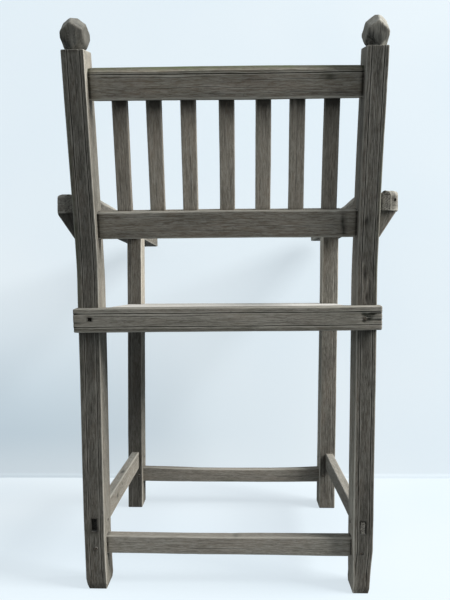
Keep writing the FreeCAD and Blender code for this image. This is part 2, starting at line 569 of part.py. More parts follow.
def make_arm(side):
    """A long flat arm, notched round its rear post and mortised for its front leg."""
    body = new_body(f"arm_{side}")
    x = side_x(side, "inner_half", "post_width + arm_overhang")
    length = "arm_front + arm_rear_end"
    corner = (x, "-arm_front", "arm_underside")
    block(body, "blank", corner, ("post_width + arm_overhang", length, "arm_thickness"))
    outer = SIDES[side] * value("post_spread / 2 + arm_overhang")

    def is_corner(edge):
        at = edge.CenterOfMass
        front = abs(at.y + value("arm_front")) < CLOSE
        return spans(edge, "z") and (front or abs(at.x - outer) < CLOSE)

    dress(body, "PartDesign::Fillet", "corners", is_corner, "Radius", "arm_corner")
    x = side_x(side, "inner_half - overrun", "post_width + overrun")
    size = ("post_width + overrun", "post_upper_depth + arm_rear_end * 2", "post_run + bend_drop")
    block(body, "post_notch", (x, "-post_upper_depth", "-bend_drop"), size, "back", cut=True)
    size = ("post_width + overrun", "post_depth + arm_rear_end * 2", "bend_height / cos(post_lean)")
    block(body, "low_post_notch", (x, "-post_depth", "0"), size, "leg", cut=True)
    x = side_x(side, "post_spread / 2 - leg_width / 2 - leg_tenon_width / 2", "leg_tenon_width")
    y = "-leg_setback - leg_depth / 2 - leg_tenon_depth / 2"
    size = ("leg_tenon_width", "leg_tenon_depth", "leg_tenon_length + mortise_spare")
    block(body, "leg_mortise", (x, y, "arm_underside"), size, cut=True)
    if side == "right":
        x = side_x(side, "post_spread / 2 + arm_overhang - arm_hole_inset - arm_hole_side", "arm_hole_side")
        corner = (x, "arm_rear_end - arm_hole_depth", "arm_underside + arm_thickness / 2")
        size = ("arm_hole_side", "arm_hole_depth + overrun", "arm_hole_side")
        block(body, "peg_hole", corner, size, cut=True)


def make_bracket(side):
    """A small triangular bracket between a post's outer face and the arm's underside."""
    body = new_body(f"arm_bracket_{side}")
    sign = SIDES[side]
    post, edge, toe = (
        f"{sign} * ({text})" for text in
        ("post_spread / 2", "post_spread / 2 + arm_overhang - bracket_shy", "post_spread / 2 + bracket_toe")
    )
    low = "arm_underside - bracket_height"
    points = [(post, "arm_underside"), (post, low), (toe, low), (edge, f"{low} + bracket_height - bracket_toe"),
              (edge, "arm_underside")]
    base = ("0", "0", "-(arm_rear_end - bracket_setback)")
    sketch = outline(body, "outline", "XZ_Plane", points, base)
    pad(body, "blank", sketch, "bracket_depth")


def make_back_stretcher():
    """The back stretcher between the posts, drilled for its two pegs."""
    body = make_post_rail("back_stretcher")
    for side in SIDES:
        x = f"{SIDES[side]} * (inner_half + peg_inset)"
        start = (x, "0", "back_stretcher_low + back_stretcher_height / 2")
        peg_hole(body, f"peg_hole_{side}", start, "forward", "peg_length")


def make_front_stretcher():
    """The front stretcher, its top worn hollow, drilled for its two pegs."""
    body = new_body("front_stretcher")
    corner = ("-leg_inner_half", FRONT_STRETCHER_Y, "front_stretcher_low")
    block(body, "blank", corner, ("2 * leg_inner_half", "front_stretcher_thickness", "front_stretcher_height"))
    y = f"{FRONT_STRETCHER_Y} + front_stretcher_thickness / 2 - rail_tenon_thickness / 2"
    corner = ("-leg_inner_half - rail_tenon_length", y, "front_stretcher_low + rail_tenon_shoulder")
    size = ("2 * (leg_inner_half + rail_tenon_length)", "rail_tenon_thickness",
            "front_stretcher_height - 2 * rail_tenon_shoulder")
    block(body, "tenons", corner, size)
    radius = "(leg_inner_half ^ 2 + front_stretcher_wear ^ 2) / (2 * front_stretcher_wear)"
    hollow = body.newObject("PartDesign::SubtractiveCylinder", "front_stretcher_hollow")
    attach(hollow, body, "XY_Plane")
    z = f"front_stretcher_low + front_stretcher_height - front_stretcher_wear + {radius}"
    start = ("0", "-leg_setback - front_stretcher_recess + overrun", z)
    place(hollow, "AttachmentOffset", start, (1, 0, 0), "90")
    hollow.setExpression("Radius", linked(radius))
    hollow.setExpression("Height", linked("front_stretcher_thickness + 2 * overrun"))
    for side in SIDES:
        x = f"{SIDES[side]} * (leg_inner_half + leg_peg_inset)"
        start = (x, "-leg_setback", "front_stretcher_low + front_stretcher_height / 2")
        peg_hole(body, f"peg_hole_{side}", start, "forward", "peg_length")


def make_side_stretcher(side):
    """A side stretcher whose rear tenon goes right through the post, with holes for its two pegs."""
    body = new_body(f"side_stretcher_{side}")
    x = side_x(side, "post_spread / 2 - post_width / 2 - side_stretcher_width / 2", "side_stretcher_width")
    low, high = "side_stretcher_low", "side_stretcher_low + side_stretcher_height"
    points = [("-leg_setback", low), (f"-({front_face_depth(low)})", low), (f"-({front_face_depth(high)})", high),
              ("-leg_setback", high)]
    sketch = outline(body, "outline", "YZ_Plane", points, ("0", "0", x))
    pad(body, "blank", sketch, "side_stretcher_width")
    x = side_x(side, SIDE_TENON_X, "through_tenon_width")
    end = "through_tenon_gap" if side == "left" else "through_tenon_shy"
    rear = f"-({face_depth(SIDE_TENON_Z)}) - {end}"
    length = f"leg_setback + front_tenon_length + {rear}"
    corner = (x, "-leg_setback - front_tenon_length", SIDE_TENON_Z)
    block(body, "tenons", corner, ("through_tenon_width", length, "through_tenon_height"))
    z = f"{SIDE_TENON_Z} + through_tenon_height / 2"
    for name, inner, y in (("rear", "inner_half", "-rear_cross_peg_depth"),
                           ("front", "leg_inner_half", "-leg_setback - front_cross_peg_run")):
        x = side_x(side, inner, "cross_peg_length")
        peg_hole(body, f"{name}_peg_hole", (x, y, z), "across", "cross_peg_length")


def make_round_pegs(label, starts, way, length):
    """One node of identical round pegs."""
    pegs = []
    for number, start in enumerate(starts):
        peg = doc.addObject("Part::Cylinder", f"{label}_{number}")
        place(peg, "Placement", start, *PEG_TURNS[way])
        peg.setExpression("Radius", linked("peg_diameter / 2"))
        peg.setExpression("Height", linked(length))
        pegs.append(peg)
    gather(label, pegs)


def gather(label, items):
    """Groups separate solids as one node."""
    group = doc.addObject("Part::Compound", label)
    group.Links = items
    group.Label = label
    place(group, "Placement", ("0", "rear_line", "0"))


def make_pegs():
    """Every peg that shows: four pairs of round ones and the square pair of the rear seat rail."""
    y, z = in_frame("leg", "0", "back_stretcher_low + back_stretcher_height / 2")
    starts = [(f"{sign} * (inner_half + peg_inset)", y, z) for sign in SIDES.values()]
    make_round_pegs("back_stretcher_pegs", starts, "forward_leg", "peg_length")
    z = "front_stretcher_low + front_stretcher_height / 2"
    starts = [(f"{sign} * (leg_inner_half + leg_peg_inset)", "-leg_setback", z) for sign in SIDES.values()]
    make_round_pegs("front_stretcher_pegs", starts, "forward", "peg_length")
    z = f"{SIDE_TENON_Z} + through_tenon_height / 2"
    starts = [(side_x(side, "inner_half", "cross_peg_length"), "-rear_cross_peg_depth", z) for side in SIDES]
    make_round_pegs("side_stretcher_rear_pegs", starts, "across", "cross_peg_length")
    y = "-leg_setback - front_cross_peg_run"
    starts = [(side_x(side, "leg_inner_half", "cross_peg_length"), y, z) for side in SIDES]
    make_round_pegs("side_stretcher_front_pegs", starts, "across", "cross_peg_length")
    pegs = []
    for side in SIDES:
        peg = doc.addObject("Part::Box", f"seat_rail_peg_{side}")
        x = side_x(side, f"{SEAT_PEG_X} - seat_peg_side / 2", "seat_peg_side")
        low = "seat_rail_thickness - seat_rail_let_in - seat_peg_recess - seat_peg_length"
        y, z = in_frame("leg", low, "seat_rail_low + seat_rail_height / 2 - seat_peg_side / 2")
        place(peg, "Placement", (x, y, z), (-1, 0, 0), "post_lean")
        for prop, text in zip(("Length", "Width", "Height"), ("seat_peg_side", "seat_peg_length", "seat_peg_side")):
            peg.setExpression(prop, linked(text))
        pegs.append(peg)
    gather("seat_rail_pegs", pegs)


def save_nodes():
    """Checks every object and writes each sub-part to its own file."""
    doc.recompute()
    broken = [item.Name for item in doc.Objects if {"Invalid", "Error"} & set(item.State)]
    if broken:
        raise RuntimeError(f"these objects failed: {broken}")
    nodes = [item for item in doc.Objects if item.isDerivedFrom("PartDesign::Body") or
             item.isDerivedFrom("Part::Compound")]
    for node in nodes:
        if node.Shape.isNull() or not node.Shape.isValid():
            raise RuntimeError(f"{node.Label} has no valid shape")
    os.makedirs("parts", exist_ok=True)
    box = FreeCAD.BoundBox()
    for node in nodes:
        node.Shape.exportStep(f"parts/{node.Label}.step")
        box.add(node.Shape.BoundBox)
        print(f"{node.Label}: {len(node.Shape.Solids)} solid(s), {node.Shape.Volume / 1000:.1f} cm3")
    print(f"box X {box.XMin:.2f} {box.XMax:.2f}, Y {box.YMin:.2f} {box.YMax:.2f}, Z {box.ZMin:.2f} {box.ZMax:.2f}")


for side in SIDES:
    make_rear_post(side)
    make_front_leg(side)
    make_side_seat_rail(side)
    make_arm(side)
    make_bracket(side)
    make_side_stretcher(side)
make_back_rails()
make_slats()
make_rear_seat_rail()
make_front_seat_rail()
make_seat_boards()
make_back_stretcher()
make_front_stretcher()
make_pegs()
save_nodes()
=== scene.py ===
"""Looks of a planters chair in weathered hardwood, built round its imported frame. Metres, +Z up."""
import enum
import logging
import math
from dataclasses import dataclass, field, replace
from typing import Any, Callable, Iterable, Optional

import bmesh
import bpy
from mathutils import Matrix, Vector, noise


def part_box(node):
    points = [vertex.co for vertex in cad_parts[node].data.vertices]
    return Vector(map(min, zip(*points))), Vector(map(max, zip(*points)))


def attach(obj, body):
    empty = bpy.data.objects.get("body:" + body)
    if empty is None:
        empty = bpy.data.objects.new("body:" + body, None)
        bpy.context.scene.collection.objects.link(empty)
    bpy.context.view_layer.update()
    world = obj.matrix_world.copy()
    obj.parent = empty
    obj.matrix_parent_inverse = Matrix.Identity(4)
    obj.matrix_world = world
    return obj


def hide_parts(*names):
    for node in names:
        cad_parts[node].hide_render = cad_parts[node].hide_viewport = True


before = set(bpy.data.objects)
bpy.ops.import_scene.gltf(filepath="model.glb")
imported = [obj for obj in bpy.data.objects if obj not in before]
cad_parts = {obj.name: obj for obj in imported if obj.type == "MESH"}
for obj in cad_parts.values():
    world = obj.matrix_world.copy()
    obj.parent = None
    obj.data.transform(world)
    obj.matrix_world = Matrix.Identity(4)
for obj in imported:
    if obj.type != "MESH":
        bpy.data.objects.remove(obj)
LOG = logging.getLogger("planters_chair")
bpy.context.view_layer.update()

BODY = "root"
ACROSS = Vector((1.0, 0.0, 0.0))
REARWARDS = Vector((0.0, 1.0, 0.0))
UP = Vector((0.0, 0.0, 1.0))
GRAIN, MARKS, TONE = "grain", "marks", "tone"

Three = tuple[float, float, float]
Four = tuple[float, float, float, float]
Piece = bpy.types.Object
Material = bpy.types.Material
Socket = bpy.types.NodeSocket
Sockets = tuple[Socket, ...]
Tree = bpy.types.NodeTree
Vertex = bmesh.types.BMVert
Mesh = bmesh.types.BMesh


class Side(enum.Enum):
    """A side of the chair, by the sitter's hand, with its sign along X."""

    LEFT = 1
    RIGHT = -1

    @property
    def word(self) -> str:
        """The side's name as the pieces use it."""
        return self.name.lower()

    def pick(self, left: Any, right: Any) -> Any:
        """The value that belongs to this side."""
        return left if self is Side.LEFT else right

    def tones(self, inner: float) -> Four:
        """Tones of an upright's faces, with its own for the one towards the middle of the chair, where it gives
        lighter wood together with painted light.
        """
        return self.pick((1, 1, inner, 1), (inner, 1, 1, 1))


class Face(enum.Enum):
    """One of the four long faces of a timber, named by the axis that points out of it."""

    U_HIGH = 0
    V_HIGH = 1
    U_LOW = 2
    V_LOW = 3


class Slot(enum.Enum):
    """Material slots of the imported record."""

    WEATHERED = "weathered_wood"
    SEAT = "seat_wood"
    PEG = "peg_wood"


# ---- side view of the chair


@dataclass(frozen=True)
class SideView:
    """Sizes that place pieces in the side view. Depths run forwards from the posts' floor line."""

    floor_line: float
    low_lean: float = math.radians(3.9)
    back_lean: float = math.radians(14.4)
    bend_height: float = 0.585
    post_depth: float = 0.058
    post_upper_depth: float = 0.054
    bend_softness: float = 0.004

    def point(self, x: float, depth: float, z: float) -> Vector:
        """A point of the part's frame from a depth forwards of the floor line."""
        return Vector((x, self.floor_line - depth, z))

    def on_lean(self, lean: float, foot: float, x: float, run: float, inward: float) -> Vector:
        """A point beside a leaning rear face.

        Args:
            lean: The face's lean.
            foot: Height at which its run starts.
            x: Place across the chair.
            run: Distance up the face.
            inward: Depth in from it.

        Returns:
            The point.
        """
        sin, cos = math.sin(lean), math.cos(lean)
        depth = -foot * math.tan(self.low_lean) - run * sin + inward * cos
        return self.point(x, depth, foot + run * cos + inward * sin)

    def on_leg(self, x: float, run: float, inward: float) -> Vector:
        """A point by its run up the lower posts and its depth in from their rear faces."""
        return self.on_lean(self.low_lean, 0, x, run, inward)

    def on_back(self, x: float, run: float, inward: float) -> Vector:
        """A point by its run up the back from the bend and its depth in from the posts' rear faces."""
        return self.on_lean(self.back_lean, self.bend_height, x, run, inward)

    @staticmethod
    def axes(lean: float) -> tuple[Vector, Vector]:
        """Upwards along a leaning timber, and out of its rear side."""
        return Vector((0, math.sin(lean), math.cos(lean))), Vector((0, math.cos(lean), -math.sin(lean)))

    def face_depth(self, z: float, front: bool) -> float:
        """Depth of the posts' rear or front face at a height, with the bend rounded.

        Args:
            z: Height above the floor.
            front: True for the front face.

        Returns:
            The depth forwards of the floor line.
        """
        low = -z * math.tan(self.low_lean)
        high = -self.bend_height * math.tan(self.low_lean) - (z - self.bend_height) * math.tan(self.back_lean)
        if front:
            low += self.post_depth / math.cos(self.low_lean)
            high += self.post_upper_depth / math.cos(self.back_lean)
        blend = max(self.bend_softness - abs(low - high), 0) / self.bend_softness
        return min(low, high) - blend * blend * self.bend_softness / 4


LEG_REAR_DEPTH = 0.4365
VIEW = SideView(floor_line=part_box("front_leg_left")[1].y + LEG_REAR_DEPTH)


# ---- timber


@dataclass(frozen=True)
class Station:
    """One cross-section of a timber: its origin, its two axes and how far it reaches along them."""

    origin: Vector
    axis_u: Vector
    axis_v: Vector
    low_u: float
    high_u: float
    low_v: float
    high_v: float

    @property
    def centre(self) -> tuple[float, float]:
        """The middle of its reach along each axis."""
        return (self.low_u + self.high_u) / 2, (self.low_v + self.high_v) / 2

    @property
    def middle(self) -> Vector:
        """The point at its centre."""
        return self.at(*self.centre)

    def inset(self, by: float) -> "Station":
        """The same section, smaller on all four sides."""
        return replace(self, low_u=self.low_u + by, high_u=self.high_u - by,
                       low_v=self.low_v + by, high_v=self.high_v - by)

    def at(self, u: float, v: float) -> Vector:
        """The point of the section at (u, v)."""
        return self.origin + self.axis_u * u + self.axis_v * v


@dataclass(frozen=True)
class Groove:
    """A line scratched or split into a long face, parallel to the grain."""

    face: Face
    inset: float
    width: float = 0.0016
    depth: float = 0.0011
    start: float = -1.0
    stop: float = 9.0
    wander: float = 0.0005
    fade: float = 0.02

    def strength(self, along: float) -> float:
        """Share of the full depth at a distance along the timber."""
        return min(max(min((along - self.start) / self.fade, (self.stop - along) / self.fade), 0), 1)


def cut_lines(*rows: tuple[float, ...], face: Face = Face.V_HIGH) -> tuple[Groove, ...]:
    """Grooves of one face, from rows of inset, width, depth, start, stop, wander and fade."""
    return tuple(Groove(face, *row) for row in rows)


@dataclass(frozen=True)
class Touch:
    """A local mark: its centre and reach in the part's frame, and what it adds there."""

    at: Three
    reach: Three
    soil: float = 0.0
    dent: float = 0.0
    tone: float = 0.0
    moss: float = 0.0

    def weight(self, point: Vector) -> float:
        """How strongly the mark is felt at a point, from 0 to 1."""
        total = sum(((point[i] - self.at[i]) / self.reach[i]) ** 2 for i in range(3))
        return math.exp(-total) if total < 12 else 0

    def near(self, point: Vector) -> bool:
        """True where the mark can be felt."""
        return all(abs(point[i] - self.at[i]) < self.reach[i] * 1.9 for i in range(3))


def touches(*rows: tuple[float, ...]) -> tuple[Touch, ...]:
    """Marks, from rows of x, y and z, the reach along each, and then darkening by grime and painted shade, dent, tone
    and moss.
    """
    return tuple(Touch(row[:3], row[3:6], *row[6:]) for row in rows)


def felt(marks: Iterable[Touch], point: Vector) -> tuple[float, ...]:
    """Adds up what marks do at a point.

    Args:
        marks: The marks.
        point: The point.

    Returns:
        Their darkening by grime and painted shade, dent, tone and moss there.
    """
    weights = [(touch, touch.weight(point)) for touch in marks]
    rows = [(t.soil * w, t.dent * w, t.tone * w, t.moss * w) for t, w in weights if w > 0]
    return tuple(map(sum, zip(*rows))) if rows else (0,) * 4


@dataclass(frozen=True)
class Column:
    """One line of points along a long face, at a share of its width and an inset from there."""

    share: float = 0.0
    inset: float = 0.0
    sink: float = 0.0
    groove: Optional[Groove] = None

    def place(self, width: float) -> float:
        """Distance from the face's low edge."""
        return self.share * width + self.inset


ARC_STEPS = 3
ARRIS_GUARD = 0.0014
POINT_GAP = 0.00008
GROOVE_SHAPE = ((-0.85, 0.0), (-0.5, 0.0), (-0.16, 1.0), (0.16, 1.0), (0.5, 0.0), (0.85, 0.0))
END_ANGLES = (0.0, 30.0, 60.0, 90.0)
END_RINGS = (0.95, 0.8, 0.6, 0.3)
# Each long face: its outward way, and the arrises at its low and high edges.
FACE_WAYS = ((1.0, 0.0, 3, 0), (0.0, 1.0, 1, 0), (-1.0, 0.0, 2, 1), (0.0, -1.0, 2, 3))


def seed_shift(seed: float) -> Vector:
    """Where a timber with this seed lies in the wood's own coordinates."""
    return Vector((seed * 1.37, seed * 2.11, seed * 0.73))


@dataclass
class Timber:
    """A piece of hand-worked wood lofted through stations, with worn arrises and grooves."""

    stations: list[Station]
    seed: float
    grooves: tuple[Groove, ...] = ()
    touches: tuple[Touch, ...] = ()
    arris: Four = (0.0018,) * 4
    chamfered: tuple[int, ...] = ()
    chips: float = 0.0035
    column: float = 0.005
    start_wear: float = 0.0
    end_wear: float = 0.0
    hew: float = 0.00035
    sway: float = 0.0007
    tone: float = 1.0
    face_tones_and_light: Four = (1.0,) * 4
    base_moss: float = 0.0

    def tone_of(self, out_u: float, out_v: float) -> float:
        """The wood's tone where its skin faces (out_u, out_v); the per-face tones give lighter wood together with
        painted light.
        """
        ways = (out_u, out_v, -out_u, -out_v)
        return self.tone * sum(rate * max(way, 0) ** 2 for way, rate in zip(ways, self.face_tones_and_light))

    def worn_ends(self) -> list[tuple[Station, float]]:
        """Rounds the worn ends.

        Returns:
            Each station with its distance along the timber.
        """
        path, along, last = [], 0, self.stations[0].middle
        for station in self.stations:
            here = station.middle
            along += (here - last).length
            last = here
            path.append((station, along))
        for wear, at_end in ((self.start_wear, False), (self.end_wear, True)):
            if wear <= 0:
                continue
            ordered = path[::-1] if at_end else path
            end, end_along = ordered[0]
            kept = [item for item in ordered if abs(item[1] - end_along) >= wear * 1.05]
            inner, inner_along = kept[0]
            rounded = []
            for angle in map(math.radians, END_ANGLES):
                share = wear * (1 - math.cos(angle)) / abs(inner_along - end_along)
                moved = replace(end, origin=end.origin.lerp(inner.origin, share))
                rounded.append((moved.inset(wear * (1 - math.sin(angle)) * 0.8),
                                end_along + (inner_along - end_along) * share))
            ordered = rounded + kept
            path = ordered[::-1] if at_end else ordered
        return path

    def columns(self, face: Face) -> list[Column]:
        """Lays out the lines of points along a face.

        Args:
            face: The face.

        Returns:
            The lines, from the face's low edge to its high one.
        """
        first = self.stations[len(self.stations) // 2]
        wide = first.high_v - first.low_v if face in (Face.U_HIGH, Face.U_LOW) else first.high_u - first.low_u
        cuts = [groove for groove in self.grooves if groove.face is face]
        count = max(2, round(wide / self.column))
        found = [Column(0, self.arris[0] + ARRIS_GUARD), Column(1, -(self.arris[0] + ARRIS_GUARD))]
        for step in range(1, count):
            place = wide * step / count
            clear = all(abs(place - groove.inset) > groove.width * 1.3 for groove in cuts)
            if clear and self.arris[0] + 2 * ARRIS_GUARD < place < wide - self.arris[0] - 2 * ARRIS_GUARD:
                found.append(Column(step / count))
        for groove in cuts:
            for offset, sink in GROOVE_SHAPE:
                found.append(Column(0, groove.inset + offset * groove.width, sink, groove))
        return sorted(found, key=lambda item: item.place(wide))

    def corner_radius(self, number: int, along: float) -> float:
        """Radius of an arris, with its wear and chips.

        Args:
            number: Which arris.
            along: Distance along the timber.

        Returns:
            The radius.
        """
        slow = noise.noise(Vector((along * 9, self.seed * 3.1 + number * 7.7, 0.3)))
        quick = noise.noise(Vector((along * 34, self.seed * 1.9 + number * 5.3, 4.1)))
        return self.arris[number] * (1 + 0.45 * slow) + max(0, quick - 0.38) * self.chips

    def spots(self, items: list[Column], along: float, width: float, radii: tuple[float, float]) -> list[Four]:
        """Places the points of one face's columns in one section.

        Args:
            items: The columns.
            along: The section's distance along the timber.
            width: The face's width there.
            radii: Radius of its low and its high arris.

        Returns:
            (place, sink, soil mark, arris mark) for each column.
        """
        placed = []
        for index, column in enumerate(items):
            place, sink, lip = column.place(width), 0, 0
            groove = column.groove
            if groove is not None:
                place += noise.noise(Vector((along * 14, groove.inset * 900, self.seed))) * groove.wander
                sink = column.sink * groove.depth * groove.strength(along)
                sink *= 1 + 0.5 * noise.noise(Vector((along * 40, groove.inset * 500, self.seed + 9)))
                lip = 0 if column.sink > 0 else 0.85 * groove.strength(along)
            low = radii[0] + (index + 1) * POINT_GAP
            high = width - radii[1] - (len(items) - index) * POINT_GAP
            placed.append((min(max(place, low), high), sink, column.sink if sink > 0 else 0, lip))
        return placed

    def arc(self, number: int, radius: float, section: Station) -> list[tuple[float, ...]]:
        """The points round one arris, which is flat where it is chamfered.

        Args:
            number: The arris.
            radius: Its radius.
            section: The section.

        Returns:
            Points as ring gives them.
        """
        centre_u = section.high_u - radius if number in (0, 3) else section.low_u + radius
        centre_v = section.high_v - radius if number in (0, 1) else section.low_v + radius
        flat, start, points = number in self.chamfered, 90 * number, []
        for step in range(ARC_STEPS + 1):
            share = step / ARC_STEPS
            angle = math.radians(start + 90 * share)
            out_u, out_v = math.cos(angle), math.sin(angle)
            over_u, over_v, worn = out_u, out_v, 1
            if flat:
                first, last = math.radians(start), math.radians(start + 90)
                over_u = math.cos(first) * (1 - share) + math.cos(last) * share
                over_v = math.sin(first) * (1 - share) + math.sin(last) * share
                worn = 0.1 if 0 < step < ARC_STEPS else 0.6
            points.append((centre_u + radius * over_u, centre_v + radius * over_v, out_u, out_v, worn, 0))
        return points

    def ring(self, section: Station, along: float, layout: dict[Face, list[Column]]) -> list[tuple[float, ...]]:
        """Points of one cross-section.

        Args:
            section: The section.
            along: Its distance along the timber.
            layout: The columns of each face.

        Returns:
            (u, v, outward u, outward v, arris mark, soil mark) for each point, in order round it.
        """
        u0, u1, v0, v1 = section.low_u, section.high_u, section.low_v, section.high_v
        limit = min(u1 - u0, v1 - v0) * 0.48
        radii = [min(self.corner_radius(number, along), limit) for number in range(4)]
        points: list[tuple[float, ...]] = []
        for face, (out_u, out_v, low, high) in zip(Face, FACE_WAYS):
            row = self.spots(layout[face], along, v1 - v0 if out_u else u1 - u0, (radii[low], radii[high]))
            for place, sink, soil, lip in row[::-1] if face in (Face.V_HIGH, Face.U_LOW) else row:
                u = (u1 if out_u > 0 else u0) - out_u * sink if out_u else u0 + place
                v = (v1 if out_v > 0 else v0) - out_v * sink if out_v else v0 + place
                points.append((u, v, out_u, out_v, lip, soil))
            points += self.arc(face.value, radii[face.value], section)
        return points

    def build(self, target: "Carcass") -> "Carcass":
        """Adds the timber's skin and its two closed ends to a carcass.

        Args:
            target: The carcass.

        Returns:
            The same carcass.
        """
        layout = {face: self.columns(face) for face in Face}
        path = self.worn_ends()
        first, last = path[0][0], path[-1][0]
        travel = last.middle - first.middle
        turned = first.axis_u.cross(first.axis_v).dot(travel) < 0
        target.touches.extend(self.touches)
        rings = []
        for station, along in path:
            centre_u, centre_v = station.centre
            drift_u = noise.noise(Vector((along * 5, self.seed, 1.7))) * self.sway
            drift_v = noise.noise(Vector((along * 5, self.seed, 8.3))) * self.sway
            row = []
            for u, v, out_u, out_v, arris, soil in self.ring(station, along, layout):
                grain = Vector((u - centre_u, v - centre_v, along))
                slow = noise.noise(Vector((u * 22, v * 22, along * 7 + self.seed * 3)))
                quick = noise.noise(Vector((u * 150, v * 150, along * 24 + self.seed * 5)))
                push = self.hew * (slow + 0.45 * quick)
                point = station.at(u + drift_u + out_u * push, v + drift_v + out_v * push)
                row.append(target.vertex(point, grain, self, (arris, soil, 0), self.tone_of(out_u, out_v)))
            rings.append(row)
        for low, high in zip(rings, rings[1:]):
            target.band(low, high, turned)
        self.close(target, rings[0], *path[0], -travel, not turned)
        self.close(target, rings[-1], *path[-1], travel, turned)
        return target

    def close(self, target: "Carcass", row: list, station: Station, along: float, way: Vector, turned: bool) -> None:
        """Closes an end with inner rings and a middle point.

        Args:
            target: The carcass that holds the timber.
            row: The vertices of the last ring.
            station: The end's section.
            along: Its distance along the timber.
            way: Roughly out of that end.
            turned: True where the faces run the other way round.
        """
        middle, (centre_u, centre_v) = station.middle, station.centre
        outer = row
        outward = station.axis_u.cross(station.axis_v)
        outward = outward if outward.dot(way) > 0 else -outward
        for share in END_RINGS:
            inner = []
            for vertex in row:
                point = middle.lerp(vertex.co, share)
                offset = point - station.origin
                u, v = offset.dot(station.axis_u) - centre_u, offset.dot(station.axis_v) - centre_v
                rough = noise.noise(Vector((u * 120, v * 120, self.seed + along))) * 0.0005
                inner.append(target.vertex(point + outward * rough, Vector((u, v, along)), self, (0, 0, 1)))
            target.band(outer, inner, turned)
            outer = inner
        tip = target.vertex(middle, Vector((0, 0, along)), self, (0, 0, 1))
        for index in range(len(row)):
            target.face((outer[index], outer[(index + 1) % len(row)], tip), turned)

    def start(self, node: str) -> "Carcass":
        """The timber as the carcass of the piece that replaces a node."""
        return self.build(Carcass(node))

    def piece(self, node: str, finish: Material, slot: Slot = Slot.WEATHERED) -> Piece:
        """The timber as a finished piece that replaces a node."""
        return self.start(node).finish(finish, slot)


def put(name: str, data: Any) -> Piece:
    """An object made of the given data and put into the scene."""
    bpy.context.scene.collection.objects.link(made := bpy.data.objects.new(name, data))
    return made


FINE_REACH, FINE_LENGTH, FINEST_EDGE = 0.007, 0.045, 0.0009
SHARP_ANGLE = math.radians(38)


